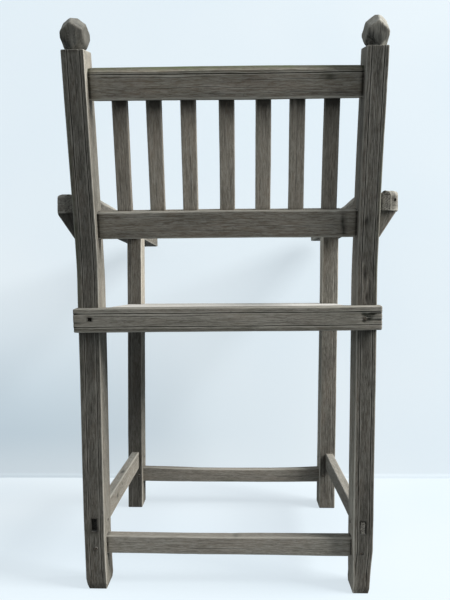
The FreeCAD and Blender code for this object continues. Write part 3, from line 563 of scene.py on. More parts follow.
@dataclass
class Carcass:
    """A mesh in the making, with the wood's own coordinates and marks kept at each vertex."""

    node: str
    mesh: Mesh = field(default_factory=bmesh.new)
    touches: list[Touch] = field(default_factory=list)

    def __post_init__(self) -> None:
        """Makes the layers that the finishes read."""
        layers = self.mesh.verts.layers
        self.grain = layers.float_vector.new(GRAIN)
        self.marks = layers.float_color.new(MARKS)
        self.tone = layers.float.new(TONE)

    def vertex(self, point: Vector, grain: Vector, timber: Timber, marks: Three,
               tone: Optional[float] = None) -> Vertex:
        """Adds a vertex with its wood coordinates and marks.

        Args:
            point: Its place.
            grain: Across, through and along the wood.
            timber: The timber that it belongs to.
            marks: 1 on a worn edge, 1 at the bottom of a groove, and 1 on end grain.
            tone: Its tone, where it isn't the timber's own.

        Returns:
            The new vertex.
        """
        made = self.mesh.verts.new(point)
        made[self.grain] = grain + seed_shift(timber.seed)
        made[self.marks] = (marks[0], marks[1], timber.base_moss, marks[2])
        made[self.tone] = timber.tone if tone is None else tone
        return made

    def face(self, corners: tuple[Vertex, ...], turned: bool) -> None:
        """Adds a face, the other way round where it is turned."""
        self.mesh.faces.new(corners[::-1] if turned else corners)

    def band(self, low: list[Vertex], high: list[Vertex], turned: bool) -> None:
        """Joins two rings with a band of faces.

        Args:
            low: The first ring.
            high: The second ring.
            turned: True where the faces turn the other way.
        """
        for index in range(len(low)):
            after = (index + 1) % len(low)
            self.face((low[index], low[after], high[after], high[index]), turned)

    def refine(self, touch: Touch) -> None:
        """Makes the mesh finer round a small mark.

        Args:
            touch: The mark.
        """
        limit = max(min(touch.reach) * 0.7, FINEST_EDGE)
        for _ in range(3):
            long = [edge for edge in self.mesh.edges if edge.calc_length() > limit
                    and all(touch.near(vertex.co) for vertex in edge.verts)]
            if not long or len(long) > 1500:
                break
            bmesh.ops.subdivide_edges(self.mesh, edges=long, cuts=1, use_grid_fill=True)
        bmesh.ops.triangulate(self.mesh, faces=[face for face in self.mesh.faces if len(face.verts) > 4])

    def lay_touches(self) -> None:
        """Lays the local marks on the skin."""
        for touch in self.touches:
            if min(touch.reach) < FINE_REACH and max(touch.reach) < FINE_LENGTH:
                self.refine(touch)
        self.mesh.normal_update()
        for vertex in self.mesh.verts:
            arris, old_soil_and_shade, old_moss, end = vertex[self.marks]
            soil, dent, tone, moss = felt(self.touches, vertex.co)
            vertex[self.marks] = (arris, min(old_soil_and_shade + soil, 1), min(old_moss + moss, 1), end)
            vertex[self.tone] += tone
            vertex.co -= vertex.normal * dent

    def pocket(self, at: Vector, out: Vector, along: Vector, halves: tuple[float, float], depth: float,
               sides: int = 4) -> None:
        """Cuts a square or round pocket into the skin.

        Args:
            at: Its middle, on the surface.
            out: The way out of the surface.
            along: One of its axes, in the surface.
            halves: Half its size along that axis and across it.
            depth: How deep it goes.
            sides: 4 for a square one, more for a round one.
        """
        self.mesh.normal_update()
        across = out.cross(along)
        reach = max(halves) * 1.6 + 0.008

        def near() -> list[bmesh.types.BMFace]:
            """Finds the faces round the pocket that look the same way out.

            Returns:
                The faces.
            """
            offsets = ((face, face.calc_center_median() - at) for face in self.mesh.faces)
            return [face for face, offset in offsets if face.normal.dot(out) > 0.6
                    and abs(offset.dot(out)) < 0.006 and offset.length < reach]

        planes = []
        for number in range(sides):
            angle = 2 * math.pi * number / sides
            cos, sin = math.cos(angle), math.sin(angle)
            normal = along * cos + across * sin
            distance = abs(cos) * halves[0] + abs(sin) * halves[1] if sides == 4 else halves[0]
            planes.append((at + normal * distance, normal))
        for point, normal in planes:
            faces = near()
            edges = dict.fromkeys(edge for face in faces for edge in face.edges)
            verts = dict.fromkeys(vertex for face in faces for vertex in face.verts)
            bmesh.ops.bisect_plane(self.mesh, geom=[*faces, *edges, *verts], plane_co=point, plane_no=normal)
        inside = [face for face in near() if all(
            (face.calc_center_median() - point).dot(normal) < 0 for point, normal in planes)]
        for vertex in dict.fromkeys(vertex for face in inside for vertex in face.verts):
            arris, soil, moss, end = vertex[self.marks]
            vertex[self.marks] = (arris, max(soil, 0.65), moss, end)
        for item in bmesh.ops.extrude_face_region(self.mesh, geom=inside)["geom"]:
            if isinstance(item, Vertex):
                item.co -= out * depth
                arris, _, moss, end = item[self.marks]
                item[self.marks] = (arris * 0.2, 1, moss, end)
        left = [face for face in inside if face.is_valid]
        if left:
            bmesh.ops.delete(self.mesh, geom=left, context="FACES")

    def finish(self, material: Material, slot: Slot = Slot.WEATHERED) -> Piece:
        """Turns the carcass into a piece that rides on the chair and replaces its node.

        Args:
            material: Its finish.
            slot: The record's slot of that finish; not used.

        Returns:
            The piece.
        """
        self.lay_touches()
        data = bpy.data.meshes.new(f"{self.node}_wood")
        self.mesh.to_mesh(data)
        self.mesh.free()
        data.materials.append(material)
        data.shade_smooth()
        data.set_sharp_from_angle(angle=SHARP_ANGLE)
        piece = put(data.name, data)
        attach(piece, BODY)
        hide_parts(self.node)
        return piece


JOINT_STEPS = (0.0013, 0.0022, 0.0032, 0.0046)


def even_stations(start: Vector, end: Vector, axes: tuple[Vector, Vector], reach: Four,
                  step: float = 0.008) -> list[Station]:
    """Stations spread evenly along a straight timber, and closer at its joints.

    Args:
        start: The section's origin at the start.
        end: The section's origin at the end.
        axes: The section's two axes.
        reach: Low and high reach along each axis.
        step: The distance from one station to the next.

    Returns:
        The stations.
    """
    length = (end - start).length
    count = max(2, round(length / step))
    shares = {index / count for index in range(count + 1)}
    if length > 0.1:
        shares |= {gap / length for gap in JOINT_STEPS} | {1 - gap / length for gap in JOINT_STEPS}
    return [Station(start.lerp(end, share), *axes, *reach) for share in sorted(shares)]


# ---- shaders


@dataclass
class Graph:
    """A node tree with short calls for the nodes that the finishes use."""

    tree: Tree

    @classmethod
    def of(cls, owner: Any) -> "Graph":
        """Empties the tree of a material or a world.

        Args:
            owner: The material or world.

        Returns:
            Its tree.
        """
        owner.use_nodes = True
        owner.node_tree.nodes.clear()
        return cls(owner.node_tree)

    def add(self, kind: str, inputs: Optional[dict[Any, Any]] = None, **settings: Any) -> bpy.types.Node:
        """Adds a node.

        Args:
            kind: The shader node's type.
            inputs: Values or sockets for its inputs, by name or number.
            settings: Its own settings.

        Returns:
            The node.
        """
        node = self.tree.nodes.new(f"ShaderNode{kind}")
        for key, setting in settings.items():
            setattr(node, key, setting)
        for key, item in (inputs or {}).items():
            if isinstance(item, Socket):
                self.tree.links.new(item, node.inputs[key])
            else:
                colour = node.inputs[key].type == "RGBA"
                node.inputs[key].default_value = (*item, 1) if colour else item
        return node

    def end(self, kind: str, surface: Socket) -> None:
        """Adds the output node of a material or a world."""
        self.add(kind, {"Surface": surface})

    def sum(self, operation: str, *values: Any, clamp: bool = False) -> Socket:
        """A Math node's result."""
        return self.add("Math", dict(enumerate(values)), operation=operation, use_clamp=clamp).outputs[0]

    def times(self, a: Any, b: Any, clamp: bool = False) -> Socket:
        """Two values multiplied."""
        return self.sum("MULTIPLY", a, b, clamp=clamp)

    def less(self, a: Any, b: Any) -> Socket:
        """One value less another."""
        return self.sum("SUBTRACT", a, b)

    def vector(self, operation: str, a: Any, b: Any) -> Socket:
        """A Vector Math node's result."""
        return self.add("VectorMath", {0: a, 1: b}, operation=operation).outputs[0]

    def scaled(self, vector: Any, by: Socket) -> Socket:
        """A vector multiplied by a value."""
        return self.add("VectorMath", {0: vector, "Scale": by}, operation="SCALE").outputs[0]

    def span(self, value: Any, low: float, high: float, to_low: float = 0.0, to_high: float = 1.0) -> Socket:
        """A value spread smoothly from one range to another."""
        return self.add("MapRange", {"Value": value, "From Min": low, "From Max": high, "To Min": to_low,
                                     "To Max": to_high}, interpolation_type="SMOOTHSTEP").outputs[0]

    def crest(self, value: Socket, width: float, height: float) -> Socket:
        """A thin line of the given height where a value crosses its middle."""
        return self.span(self.sum("ABSOLUTE", self.less(value, 0.5)), 0, width, height, 0)

    def speckle(self, vector: Any, scale: float, detail: float = 3.0, roughness: float = 0.55) -> Socket:
        """A Noise Texture's value."""
        return self.add("TexNoise", {"Vector": vector, "Scale": scale, "Detail": detail,
                                     "Roughness": roughness}).outputs["Fac"]

    def fibres(self, wood: Socket, across: float, along: float, detail: float = 3.0, roughness: float = 0.55,
               through: Optional[float] = None) -> Socket:
        """A Noise Texture's value with its own scale across and along the wood."""
        return self.speckle(self.vector("MULTIPLY", wood, (across, through or across, along)), 1, detail, roughness)

    def mix(self, factor: Any, a: Any, b: Any, blend: str = "MIX") -> Socket:
        """A colour Mix node's result."""
        return self.add("Mix", {0: factor, 6: a, 7: b}, data_type="RGBA", blend_type=blend).outputs[2]


class EffectGroups:
    """The effects that several finishes share, each one a node group made once."""

    def __init__(self) -> None:
        """Builds every group."""
        self.grain = self.group("wood_grain", self.draw_grain, "Fibre Fleck Streak Ring Patch Relief", Coarseness=1)
        self.checks = self.group("drying_checks", self.draw_checks, Amount=0.5)
        self.end_grain = self.group("end_grain", self.draw_end_grain, "Ring Split")
        self.edge_wear = self.group("edge_wear", self.draw_edge_wear, Arris=0, Amount=0.5)
        self.algae = self.group("algae", self.draw_algae, Moss=0)
        self.dust = self.group("sky_dust", self.draw_dust, Amount=0.4)
        self.stain_and_shade = self.group("stain_and_shade", self.draw_stain_and_shade, Soil=0, Amount=0.4)

    @staticmethod
    def group(name: str, draw: Callable[..., Sockets], made: str = "Mask",
              **given: float) -> Tree:
        """Makes one group. Its first input is the wood's own coordinates.

        Args:
            name: The group's name.
            draw: Adds its nodes, from the graph and its inputs' sockets, and returns its outputs' sockets.
            made: Names of its outputs.
            given: Names and defaults of its other inputs.

        Returns:
            The group.
        """
        tree = bpy.data.node_groups.new(name, "ShaderNodeTree")
        tree.interface.new_socket(name="Wood", in_out="INPUT", socket_type="NodeSocketVector")
        for label, default in given.items():
            socket = tree.interface.new_socket(name=label, in_out="INPUT", socket_type="NodeSocketFloat")
            socket.default_value = default
        for label in made.split():
            tree.interface.new_socket(name=label, in_out="OUTPUT", socket_type="NodeSocketFloat")
        start, end = tree.nodes.new("NodeGroupInput"), tree.nodes.new("NodeGroupOutput")
        drawn = draw(Graph(tree), *(start.outputs[label] for label in ("Wood", *given)))
        for label, socket in zip(made.split(), drawn):
            tree.links.new(socket, end.inputs[label])
        return tree

    @staticmethod
    def draw_grain(graph: Graph, wood: Socket, coarseness: Socket) -> Sockets:
        """Draws fibres, flecks, streaks and flat-sawn rings along the wood, and the relief that they make.

        Args:
            graph: The group's graph.
            wood: The wood's own coordinates.
            coarseness: How coarse the grain is.

        Returns:
            Fibre, fleck, streak, ring, patch and relief.
        """
        wood = graph.scaled(wood, coarseness)
        bent = graph.fibres(wood, 8, 3, 2)
        wood = graph.vector("ADD", wood, graph.scaled((0.006, 0.006, 0), bent))
        fibre = graph.fibres(wood, 640, 58, 4, 0.72)
        fleck = graph.span(graph.fibres(wood, 620, 120, 2, 0.6), 0.58, 0.68)
        streak = graph.fibres(wood, 330, 13, 3, 0.62)
        figure = graph.fibres(wood, 24, 1.6, 1, 0.4)
        ring = graph.span(graph.sum("SINE", graph.times(figure, 120)), 0, 1)
        patch = graph.fibres(wood, 34, 11, 3, 0.6)
        relief = graph.sum("MULTIPLY_ADD", streak, 0.35, graph.times(fibre, 0.5))
        relief = graph.less(graph.less(relief, graph.times(fleck, 0.2)), graph.times(ring, 0.12))
        return fibre, fleck, streak, ring, patch, relief

    @staticmethod
    def draw_checks(graph: Graph, wood: Socket, amount: Socket) -> Sockets:
        """Draws drying cracks: thin dark lines that follow the grain and come and go.

        Args:
            graph: The group's tree.
            wood: The wood coordinates.
            amount: How many there are.

        Returns:
            How dark they are.
        """
        line = graph.crest(graph.fibres(wood, 74, 1.3, 2, 0.6), 0.01, 1)
        fine = graph.crest(graph.fibres(wood, 260, 4, 2, 0.6), 0.02, 0.6)
        where = graph.less(graph.fibres(wood, 16, 4.5, 2), graph.less(0.74, graph.times(amount, 0.3)))
        return (graph.times(graph.sum("MAXIMUM", line, fine), graph.times(where, 9, clamp=True)),)

    @staticmethod
    def draw_end_grain(graph: Graph, wood: Socket) -> Sockets:
        """Draws growth rings and radial splits on sawn and worn ends.

        Args:
            graph: The group's tree.
            wood: The wood coordinates.

        Returns:
            The rings and the splits.
        """
        wood = graph.vector("MULTIPLY", wood, (1, 1, 0.05))
        bent = graph.add("TexNoise", {"Vector": wood, "Scale": 60, "Detail": 2}).outputs["Color"]
        wood = graph.vector("ADD", wood, graph.vector("MULTIPLY", bent, (0.004, 0.004, 0)))
        ring = graph.add("TexWave", {"Vector": wood, "Scale": 95, "Distortion": 2, "Detail": 2},
                         wave_type="RINGS", rings_direction="Z").outputs["Fac"]
        slant = graph.add("VectorRotate", {"Vector": wood, "Angle": 0.55}, rotation_type="Z_AXIS").outputs[0]
        return ring, graph.crest(graph.fibres(slant, 120, 1, 2, through=330), 0.05, 1)

    @staticmethod
    def draw_edge_wear(graph: Graph, wood: Socket, arris: Socket, amount: Socket) -> Sockets:
        """Draws where hands and weather have rubbed the arrises pale.

        Args:
            graph: The group's tree.
            wood: The wood coordinates.
            arris: Nearness to an arris.
            amount: How strong it is.

        Returns:
            The wear.
        """
        ragged = graph.less(graph.fibres(wood, 220, 26, 3, 0.6), 0.5)
        worn = graph.sum("ADD", arris, graph.times(ragged, 1.3))
        return (graph.times(graph.span(worn, 0.45, 1.05), amount),)

    @staticmethod
    def draw_algae(graph: Graph, wood: Socket, moss: Socket) -> Sockets:
        """Draws clumps of green algae.

        Args:
            graph: The group's tree.
            wood: The wood coordinates.
            moss: Where it grows.

        Returns:
            The algae.
        """
        clump, broad = graph.fibres(wood, 120, 40, 4, 0.65), graph.fibres(wood, 24, 9, 2)
        grown = graph.sum("ADD", graph.times(clump, 0.6), graph.times(broad, 0.6))
        return (graph.times(graph.span(grown, 0.38, 0.78), moss, clamp=True),)

    @staticmethod
    def draw_dust(graph: Graph, wood: Socket, amount: Socket) -> Sockets:
        """Draws pale bleaching and dust on what faces the sky.

        Args:
            graph: The group's tree.
            wood: The wood coordinates.
            amount: How strong it is.

        Returns:
            The dust.
        """
        upward = graph.add("SeparateXYZ", {0: graph.add("NewGeometry").outputs["Normal"]}).outputs["Z"]
        patch = graph.span(graph.fibres(wood, 60, 11, 4, 0.6), 0.2, 0.7, 0.45, 1)
        return (graph.times(graph.times(graph.span(upward, 0.25, 0.95), patch), amount),)

    @staticmethod
    def draw_stain_and_shade(graph: Graph, wood: Socket, soil: Socket, amount: Socket) -> Sockets:
        """Draws dark weather stains in broad patches, and grime together with painted shade.

        Args:
            graph: The group's tree.
            wood: The wood coordinates.
            soil: Where grime and painted shade lie.
            amount: Strength of the stains.

        Returns:
            The stains, grime and painted shade.
        """
        patch = graph.times(graph.span(graph.fibres(wood, 20, 5, 4, 0.62), 0.45, 0.72), amount)
        dirt_and_shade = graph.times(soil, graph.span(graph.fibres(wood, 170, 40, 3), 0.1, 0.6, 0.55, 1.15))
        return (graph.sum("MAXIMUM", patch, dirt_and_shade, clamp=True),)


@dataclass(frozen=True)
class WoodFinish:
    """A bare weathered wood: its colours and how strongly each effect of age shows."""

    name: str
    dark: Three = (0.062, 0.056, 0.045)
    body: Three = (0.112, 0.105, 0.088)
    pale: Three = (0.225, 0.216, 0.189)
    warm: Three = (0.125, 0.099, 0.075)
    worn: Three = (0.34, 0.325, 0.285)
    soil: Three = (0.014, 0.012, 0.009)
    moss: Three = (0.11, 0.145, 0.058)
    dust: Three = (0.36, 0.37, 0.35)
    coarseness: float = 1.0
    wear: float = 0.6
    stains: float = 0.5
    cracks: float = 0.5
    bleach: float = 0.5
    warmth: float = 0.5
    relief: float = 0.7

    def build(self, groups: EffectGroups) -> Material:
        """The finish as a material.

        Args:
            groups: The shared effects.

        Returns:
            The material.
        """
        material = bpy.data.materials.new(self.name)
        graph = Graph.of(material)
        wood = graph.add("Attribute", attribute_name=GRAIN).outputs["Vector"]
        marks = graph.add("Attribute", attribute_name=MARKS)
        tone = graph.add("Attribute", attribute_name=TONE).outputs["Fac"]
        arris, soil, moss = graph.add("SeparateColor", {0: marks.outputs["Color"]}).outputs
        end = marks.outputs["Alpha"]

        def effect(tree: Tree, **values: Any) -> Any:
            """The outputs of one shared effect on this wood."""
            return graph.add("Group", {"Wood": wood, **values}, node_tree=tree).outputs

        grain = effect(groups.grain, Coarseness=self.coarseness)
        checks = effect(groups.checks, Amount=self.cracks)[0]
        ends = effect(groups.end_grain)
        wear = effect(groups.edge_wear, Arris=arris, Amount=self.wear)[0]
        algae = effect(groups.algae, Moss=moss)[0]
        dust = effect(groups.dust, Amount=self.bleach)[0]
        # Stains, grime and painted shade laid down by the marks.
        stain_and_shade = effect(groups.stain_and_shade, Soil=soil, Amount=self.stains)[0]

        fibre = graph.span(grain["Fibre"], 0.38, 0.64)
        brown = graph.times(graph.span(grain["Patch"], 0.42, 0.68), self.warmth)
        end_color = graph.mix(ends["Ring"], self.body, self.pale)
        end_color = graph.mix(graph.times(ends["Split"], 0.85), end_color, self.soil)
        color = graph.mix(graph.span(grain["Streak"], 0.28, 0.66), self.dark, self.body)
        for share, layer in ((brown, self.warm), (graph.times(fibre, 0.72), self.pale),
                             (graph.times(grain["Ring"], 0.16), self.dark),
                             (graph.times(grain["Fleck"], 0.6), self.dark), (end, end_color),
                             (graph.times(stain_and_shade, 0.9), self.soil), (wear, self.worn), (dust, self.dust),
                             (algae, self.moss), (checks, self.soil)):
            color = graph.mix(share, color, layer)
        bright = graph.add("CombineColor", {0: tone, 1: tone, 2: tone}).outputs[0]
        color = graph.mix(1, color, bright, "MULTIPLY")

        rough = graph.less(graph.less(0.93, graph.times(fibre, 0.12)), graph.times(wear, 0.12))
        height = graph.less(graph.times(grain["Relief"], graph.less(1, end)), graph.times(checks, 1.3))
        height = graph.less(height, graph.times(graph.times(ends["Split"], end), 0.6))
        bump = graph.add("Bump", {"Height": height, "Strength": self.relief, "Distance": 0.0009}).outputs[0]
        shader = graph.add("BsdfPrincipled", {
            "Base Color": color, "Roughness": rough, "Normal": bump, "Specular IOR Level": 0.3})
        graph.end("OutputMaterial", shader.outputs[0])
        return material


class Finishes:
    """Every wood finish of the chair, made once."""

    def __init__(self) -> None:
        """Builds the shared effects and the materials."""
        groups = EffectGroups()
        self.post = WoodFinish("post_wood").build(groups)
        self.rail = WoodFinish("rail_wood", dark=(0.075, 0.063, 0.05), body=(0.142, 0.123, 0.098),
                               warm=(0.155, 0.12, 0.09), stains=0.3, bleach=0.12).build(groups)
        self.slat = WoodFinish("slat_wood", dark=(0.125, 0.109, 0.086), body=(0.215, 0.191, 0.155),
                               pale=(0.32, 0.295, 0.25), warm=(0.24, 0.195, 0.15), stains=0.15, cracks=0.15,
                               wear=0.3).build(groups)
        self.arm = WoodFinish("arm_wood", body=(0.135, 0.126, 0.106), cracks=0.75, bleach=0.65).build(groups)
        self.stretcher = WoodFinish("stretcher_wood", dark=(0.1, 0.091, 0.075), body=(0.185, 0.172, 0.145),
                                    pale=(0.285, 0.272, 0.24), warm=(0.19, 0.16, 0.128), stains=0.2,
                                    cracks=0.3, bleach=0.14).build(groups)
        self.seat = WoodFinish("seat_board_wood", dark=(0.11, 0.1, 0.083), body=(0.22, 0.203, 0.173),
                               pale=(0.37, 0.35, 0.31), warm=(0.24, 0.19, 0.145), worn=(0.45, 0.42, 0.37),
                               dust=(0.56, 0.55, 0.52), stains=0.3, bleach=0.85, warmth=0.3).build(groups)
        self.peg = WoodFinish("peg_wood_end", dark=(0.03, 0.025, 0.019), body=(0.085, 0.07, 0.052),
                              pale=(0.14, 0.12, 0.096), cracks=0.1, stains=0.6).build(groups)


# ---- sub-assemblies


HALF_SPREAD = 0.26
POST_WIDTH = 0.035
INNER_HALF = HALF_SPREAD - POST_WIDTH
LEG_WIDTH = 0.036
LEG_DEPTH = 0.057
LEG_INNER_HALF = HALF_SPREAD - LEG_WIDTH
LEG_REAR = VIEW.point(0, LEG_REAR_DEPTH, 0).y
LEG_UP, LEG_OUT = VIEW.axes(VIEW.low_lean)
BACK_UP, BACK_OUT = VIEW.axes(VIEW.back_lean)
SINK_IN = 0.0012

PEG_HOLE_HALF, PEG_HOLE_DEPTH, PEG_HOLE_SIDES = 0.0036, 0.0016, 10
BACK_PEG_RUNS = {Side.LEFT: 0.0785, Side.RIGHT: 0.0722}
BACK_PEG_IN, FRONT_PEG_IN = 0.015, 0.009
FRONT_PEG_Z, SIDE_PEG_Z = 0.0805, 0.1195
POST_PEG_DEPTH, LEG_PEG_DEPTH = 0.025, 0.034
SEAT_PEG_X = 0.2375

CORNERS = ((1, 1), (-1, 1), (-1, -1), (1, -1))


class PegGroup(enum.Enum):
    """The groups of round pegs, by their nodes."""

    BACK = "back_stretcher_pegs"
    FRONT = "front_stretcher_pegs"
    SIDE_REAR = "side_stretcher_rear_pegs"
    SIDE_FRONT = "side_stretcher_front_pegs"

    def spot(self, side: Side, shift: float = 0.0) -> tuple[Vector, Vector]:
        """Finds one of the group's holes.

        Args:
            side: The hole's side of the chair.
            shift: How far it has moved with a leaning front leg.

        Returns:
            Its middle on the surface, and the way out of the wood there.
        """
        sign = side.value
        if self is PegGroup.BACK:
            return VIEW.on_leg(sign * (INNER_HALF + BACK_PEG_IN), BACK_PEG_RUNS[side], 0), LEG_OUT
        if self is PegGroup.FRONT:
            return Vector((sign * (LEG_INNER_HALF + FRONT_PEG_IN) + shift, LEG_REAR, FRONT_PEG_Z)), REARWARDS
        if self is PegGroup.SIDE_REAR:
            return Vector((sign * INNER_HALF, VIEW.floor_line - POST_PEG_DEPTH, SIDE_PEG_Z)), ACROSS * -sign
        return Vector((sign * LEG_INNER_HALF + shift, LEG_REAR - LEG_PEG_DEPTH, SIDE_PEG_Z)), ACROSS * -sign

    def drill(self, carcass: Carcass, side: Side, shift: float = 0.0) -> None:
        """Drills one of the group's holes into the skin of its post or leg.

        Args:
            carcass: The post or leg.
            side: The hole's side of the chair.
            shift: How far it has moved with a leaning front leg.
        """
        at, out = self.spot(side, shift)
        along = LEG_UP if self is PegGroup.BACK else UP
        carcass.pocket(at, out, along, (PEG_HOLE_HALF, PEG_HOLE_HALF), PEG_HOLE_DEPTH, sides=PEG_HOLE_SIDES)


@dataclass(frozen=True)
class PostTop:
    """The facets of a carved post top, by heights as shares of its own, corner by corner.

    The corners run from rear +X over rear -X and front -X to front +X. Each gets a cut from the two
    foot points up to the waist, and one from the top of the upright edge there to the two crown points.
    """

    foot: Four
    waist: Four
    crown: Four
    cap: float
    cap_tilt: tuple[float, float]
    edge: float
    height: float = 0.05

    def cuts(self) -> list[tuple[Three, ...]]:
        """Places the cuts.

        Returns:
            Three points of each cut's plane, in half widths, half depths and heights.
        """
        made = []
        for (u, v), foot, waist, crown in zip(CORNERS, self.foot, self.waist, self.crown):
            made.append(((u, 0, foot), (0, v, foot), (u, v, waist)))
            made.append(((u, 0, crown), (0, v, crown), (u, v, waist + self.edge)))
        made.append(((0, 0, self.cap), (1, 0, self.cap + self.cap_tilt[0]), (0, 1, self.cap + self.cap_tilt[1])))
        return made


@dataclass
class RearPost:
    """A bent rear post with scratched grooves, a chamfered foot and a carved top."""

    finishes: Finishes
    side: Side
    top: PostTop
    seed: float
    tone: float
    inner_tone_and_light: float
    touches: tuple[Touch, ...]
    top_touches: tuple[Touch, ...]
    facet_light_and_shade: Three
    foot_in: float
    foot_in_height: float
    foot_out: float
    foot_out_height: float
    foot_kick: float
    outward: float
    inward: float
    mortise: tuple[float, float]
    mortise_halves: tuple[float, float]
    mortise_depth: float
    run: float = 0.359
    groove_inset: float = 0.0073
    foot_bevel: float = 0.0022
    foot_bevel_height: float = 0.009
    kick_height: float = 0.11
    swell_start: float = 0.04
    swell_length: float = 0.1
    step: float = 0.0065
    facet_area: float = 2.5e-5
    facet_edge: float = 0.0028
    top_moss: float = 0.06

    def stations(self) -> list[Station]:
        """Lays the post out from its foot to the shoulder under the carved top.

        Returns:
            The sections.
        """
        top_rear = VIEW.on_back(0, self.run, 0).z
        top_front = VIEW.on_back(0, self.run, VIEW.post_upper_depth).z
        count = round(top_rear / self.step)
        made = []
        for z in sorted({0, 0.0045, 0.009, 0.014} | {top_rear * index / count for index in range(1, count + 1)}):
            front_z = top_front * (z / top_rear)
            kick = self.foot_kick * max(0, 1 - z / self.kick_height) ** 2
            rear = VIEW.point(0, VIEW.face_depth(z, False) - kick, z)
            front = VIEW.point(0, VIEW.face_depth(front_z, True) - kick, front_z)
            half = (rear - front).length / 2
            bevel = self.foot_bevel * max(0, 1 - z / self.foot_bevel_height)
            inner = self.foot_in * max(0, 1 - z / self.foot_in_height)
            outer = self.foot_out * max(0, 1 - z / self.foot_out_height) ** 0.8
            swell = min(1, max(0, (z - self.swell_start) / self.swell_length))
            low = INNER_HALF + inner - self.inward * swell + bevel * 0.6
            high = HALF_SPREAD - outer + self.outward * swell - bevel * 0.6
            low, high = self.side.pick((low, high), (-high, -low))
            made.append(Station((rear + front) / 2, ACROSS, (rear - front).normalized(), low, high,
                                bevel - half, half - bevel))
        return made

    def grooves(self) -> tuple[Groove, ...]:
        """Scratches the lines of the rear face and two long drying cracks.

        Returns:
            The grooves.
        """
        return (*cut_lines((self.groove_inset, 0.0017, 0.0014, 0.02),
                           (POST_WIDTH - self.groove_inset, 0.0017, 0.0014, 0.02),
                           (0.0172, 0.0009, 0.0012, 0.74, 0.93, 0.0016, 0.06)),
                *cut_lines((0.024, 0.001, 0.0014, 0.6, 0.86, 0.002, 0.08),
                           face=self.side.pick(Face.U_LOW, Face.U_HIGH)))

    def build(self) -> list[Piece]:
        """Builds the post, drills its holes and carves its top.

        Returns:
            The post alone.
        """
        carcass = Timber(self.stations(), self.seed, self.grooves(), self.touches, arris=(0.0015,) * 4, column=0.0045,
                         tone=self.tone, face_tones_and_light=self.side.tones(self.inner_tone_and_light),
                         end_wear=0.002).start(f"rear_post_{self.side.word}")
        PegGroup.BACK.drill(carcass, self.side)
        carcass.pocket(VIEW.on_leg(*self.mortise, 0), LEG_OUT, LEG_UP, self.mortise_halves, self.mortise_depth)
        PegGroup.SIDE_REAR.drill(carcass, self.side)
        self.carve(carcass)
        return [carcass.finish(self.finishes.post)]

    def carve(self, carcass: Carcass) -> None:
        """Cuts the faceted top out of a block: diamonds on the four sides and cuts across the corners.

        Args:
            carcass: The post's carcass, which the carved top joins.
        """
        sign, thick = self.side.value, VIEW.post_upper_depth
        low_x, high_x = INNER_HALF - self.inward, HALF_SPREAD + self.outward
        middle = VIEW.on_back(sign * (low_x + high_x) / 2, self.run, thick / 2)

        def spot(u: float, v: float, w: float) -> Vector:
            """A point by half widths, half depths and heights."""
            return (middle + ACROSS * (u * (high_x - low_x) / 2) + BACK_OUT * (v * thick / 2)
                    + BACK_UP * (w * self.top.height))

        block = Carcass("carved_top")
        tool = block.mesh
        low, high = ([tool.verts.new(spot(u, v, w)) for u, v in CORNERS] for w in (-0.1, 1.2))
        block.face(low, True)
        block.face(high, False)
        block.band(low, high, False)
        heart = spot(0, 0, 0.4)
        for cut in self.top.cuts():
            a, b, c = (spot(*point) for point in cut)
            normal = (b - a).cross(c - a).normalized()
            if normal.dot(heart - a) > 0:
                normal.negate()
            geometry = [*tool.verts, *tool.edges, *tool.faces]
            result = bmesh.ops.bisect_plane(tool, geom=geometry, plane_co=a, plane_no=normal, clear_outer=True)
            edges = [item for item in result["geom_cut"] if isinstance(item, bmesh.types.BMEdge)]
            bmesh.ops.holes_fill(tool, edges=edges, sides=0)
        bmesh.ops.remove_doubles(tool, verts=tool.verts, dist=0.0004)
        bmesh.ops.recalc_face_normals(tool, faces=tool.faces)
        self.soften(block)
        self.dress(block, middle)
        shell = bpy.data.meshes.new(block.node)
        tool.to_mesh(shell)
        tool.free()
        carcass.mesh.from_mesh(shell)
        bpy.data.meshes.remove(shell)

    def soften(self, block: Carcass) -> None:
        """Rounds the edges between the facets, marks them as worn and makes the mesh finer.

        Args:
            block: The carved block.
        """
        tool = block.mesh
        bmesh.ops.bevel(tool, geom=list(tool.edges), offset=0.0024, segments=3, affect="EDGES", profile=0.5)
        wide = [face for face in tool.faces if face.calc_area() > self.facet_area]
        worn = {vertex for face in tool.faces if face.calc_area() <= self.facet_area for vertex in face.verts}
        for vertex in tool.verts:
            vertex[block.marks] = (0.75 if vertex in worn else 0, 0, self.top_moss, 0)
        bmesh.ops.triangulate(tool, faces=wide)
        for _ in range(3):
            long = [edge for edge in tool.edges if edge.calc_length() > self.facet_edge]
            bmesh.ops.subdivide_edges(tool, edges=long, cuts=1, use_grid_fill=True)
        bmesh.ops.triangulate(tool, faces=[face for face in tool.faces if len(face.verts) > 4])
        tool.normal_update()

    def dress(self, block: Carcass, middle: Vector) -> None:
        """Roughens the carved top and gives it its wood coordinates, tones and marks; the tones paint light and shade
        on each facet by the way it faces, and the marks paint shade and a highlight.

        Args:
            block: The carved block.
            middle: The middle of its foot.
        """
        rear, inner, outer = self.facet_light_and_shade
        for vertex in block.mesh.verts:
            offset = vertex.co - middle
            up = offset.dot(BACK_UP) + self.run + 0.58
            local = Vector((offset.dot(ACROSS), offset.dot(BACK_OUT), up))
            vertex.co += vertex.normal * (noise.noise(local * 90 + Vector((self.seed, 0, 0))) * 0.0005)
            vertex[block.grain] = local + seed_shift(self.seed)
            way = vertex.normal
            across = -self.side.value * way.x
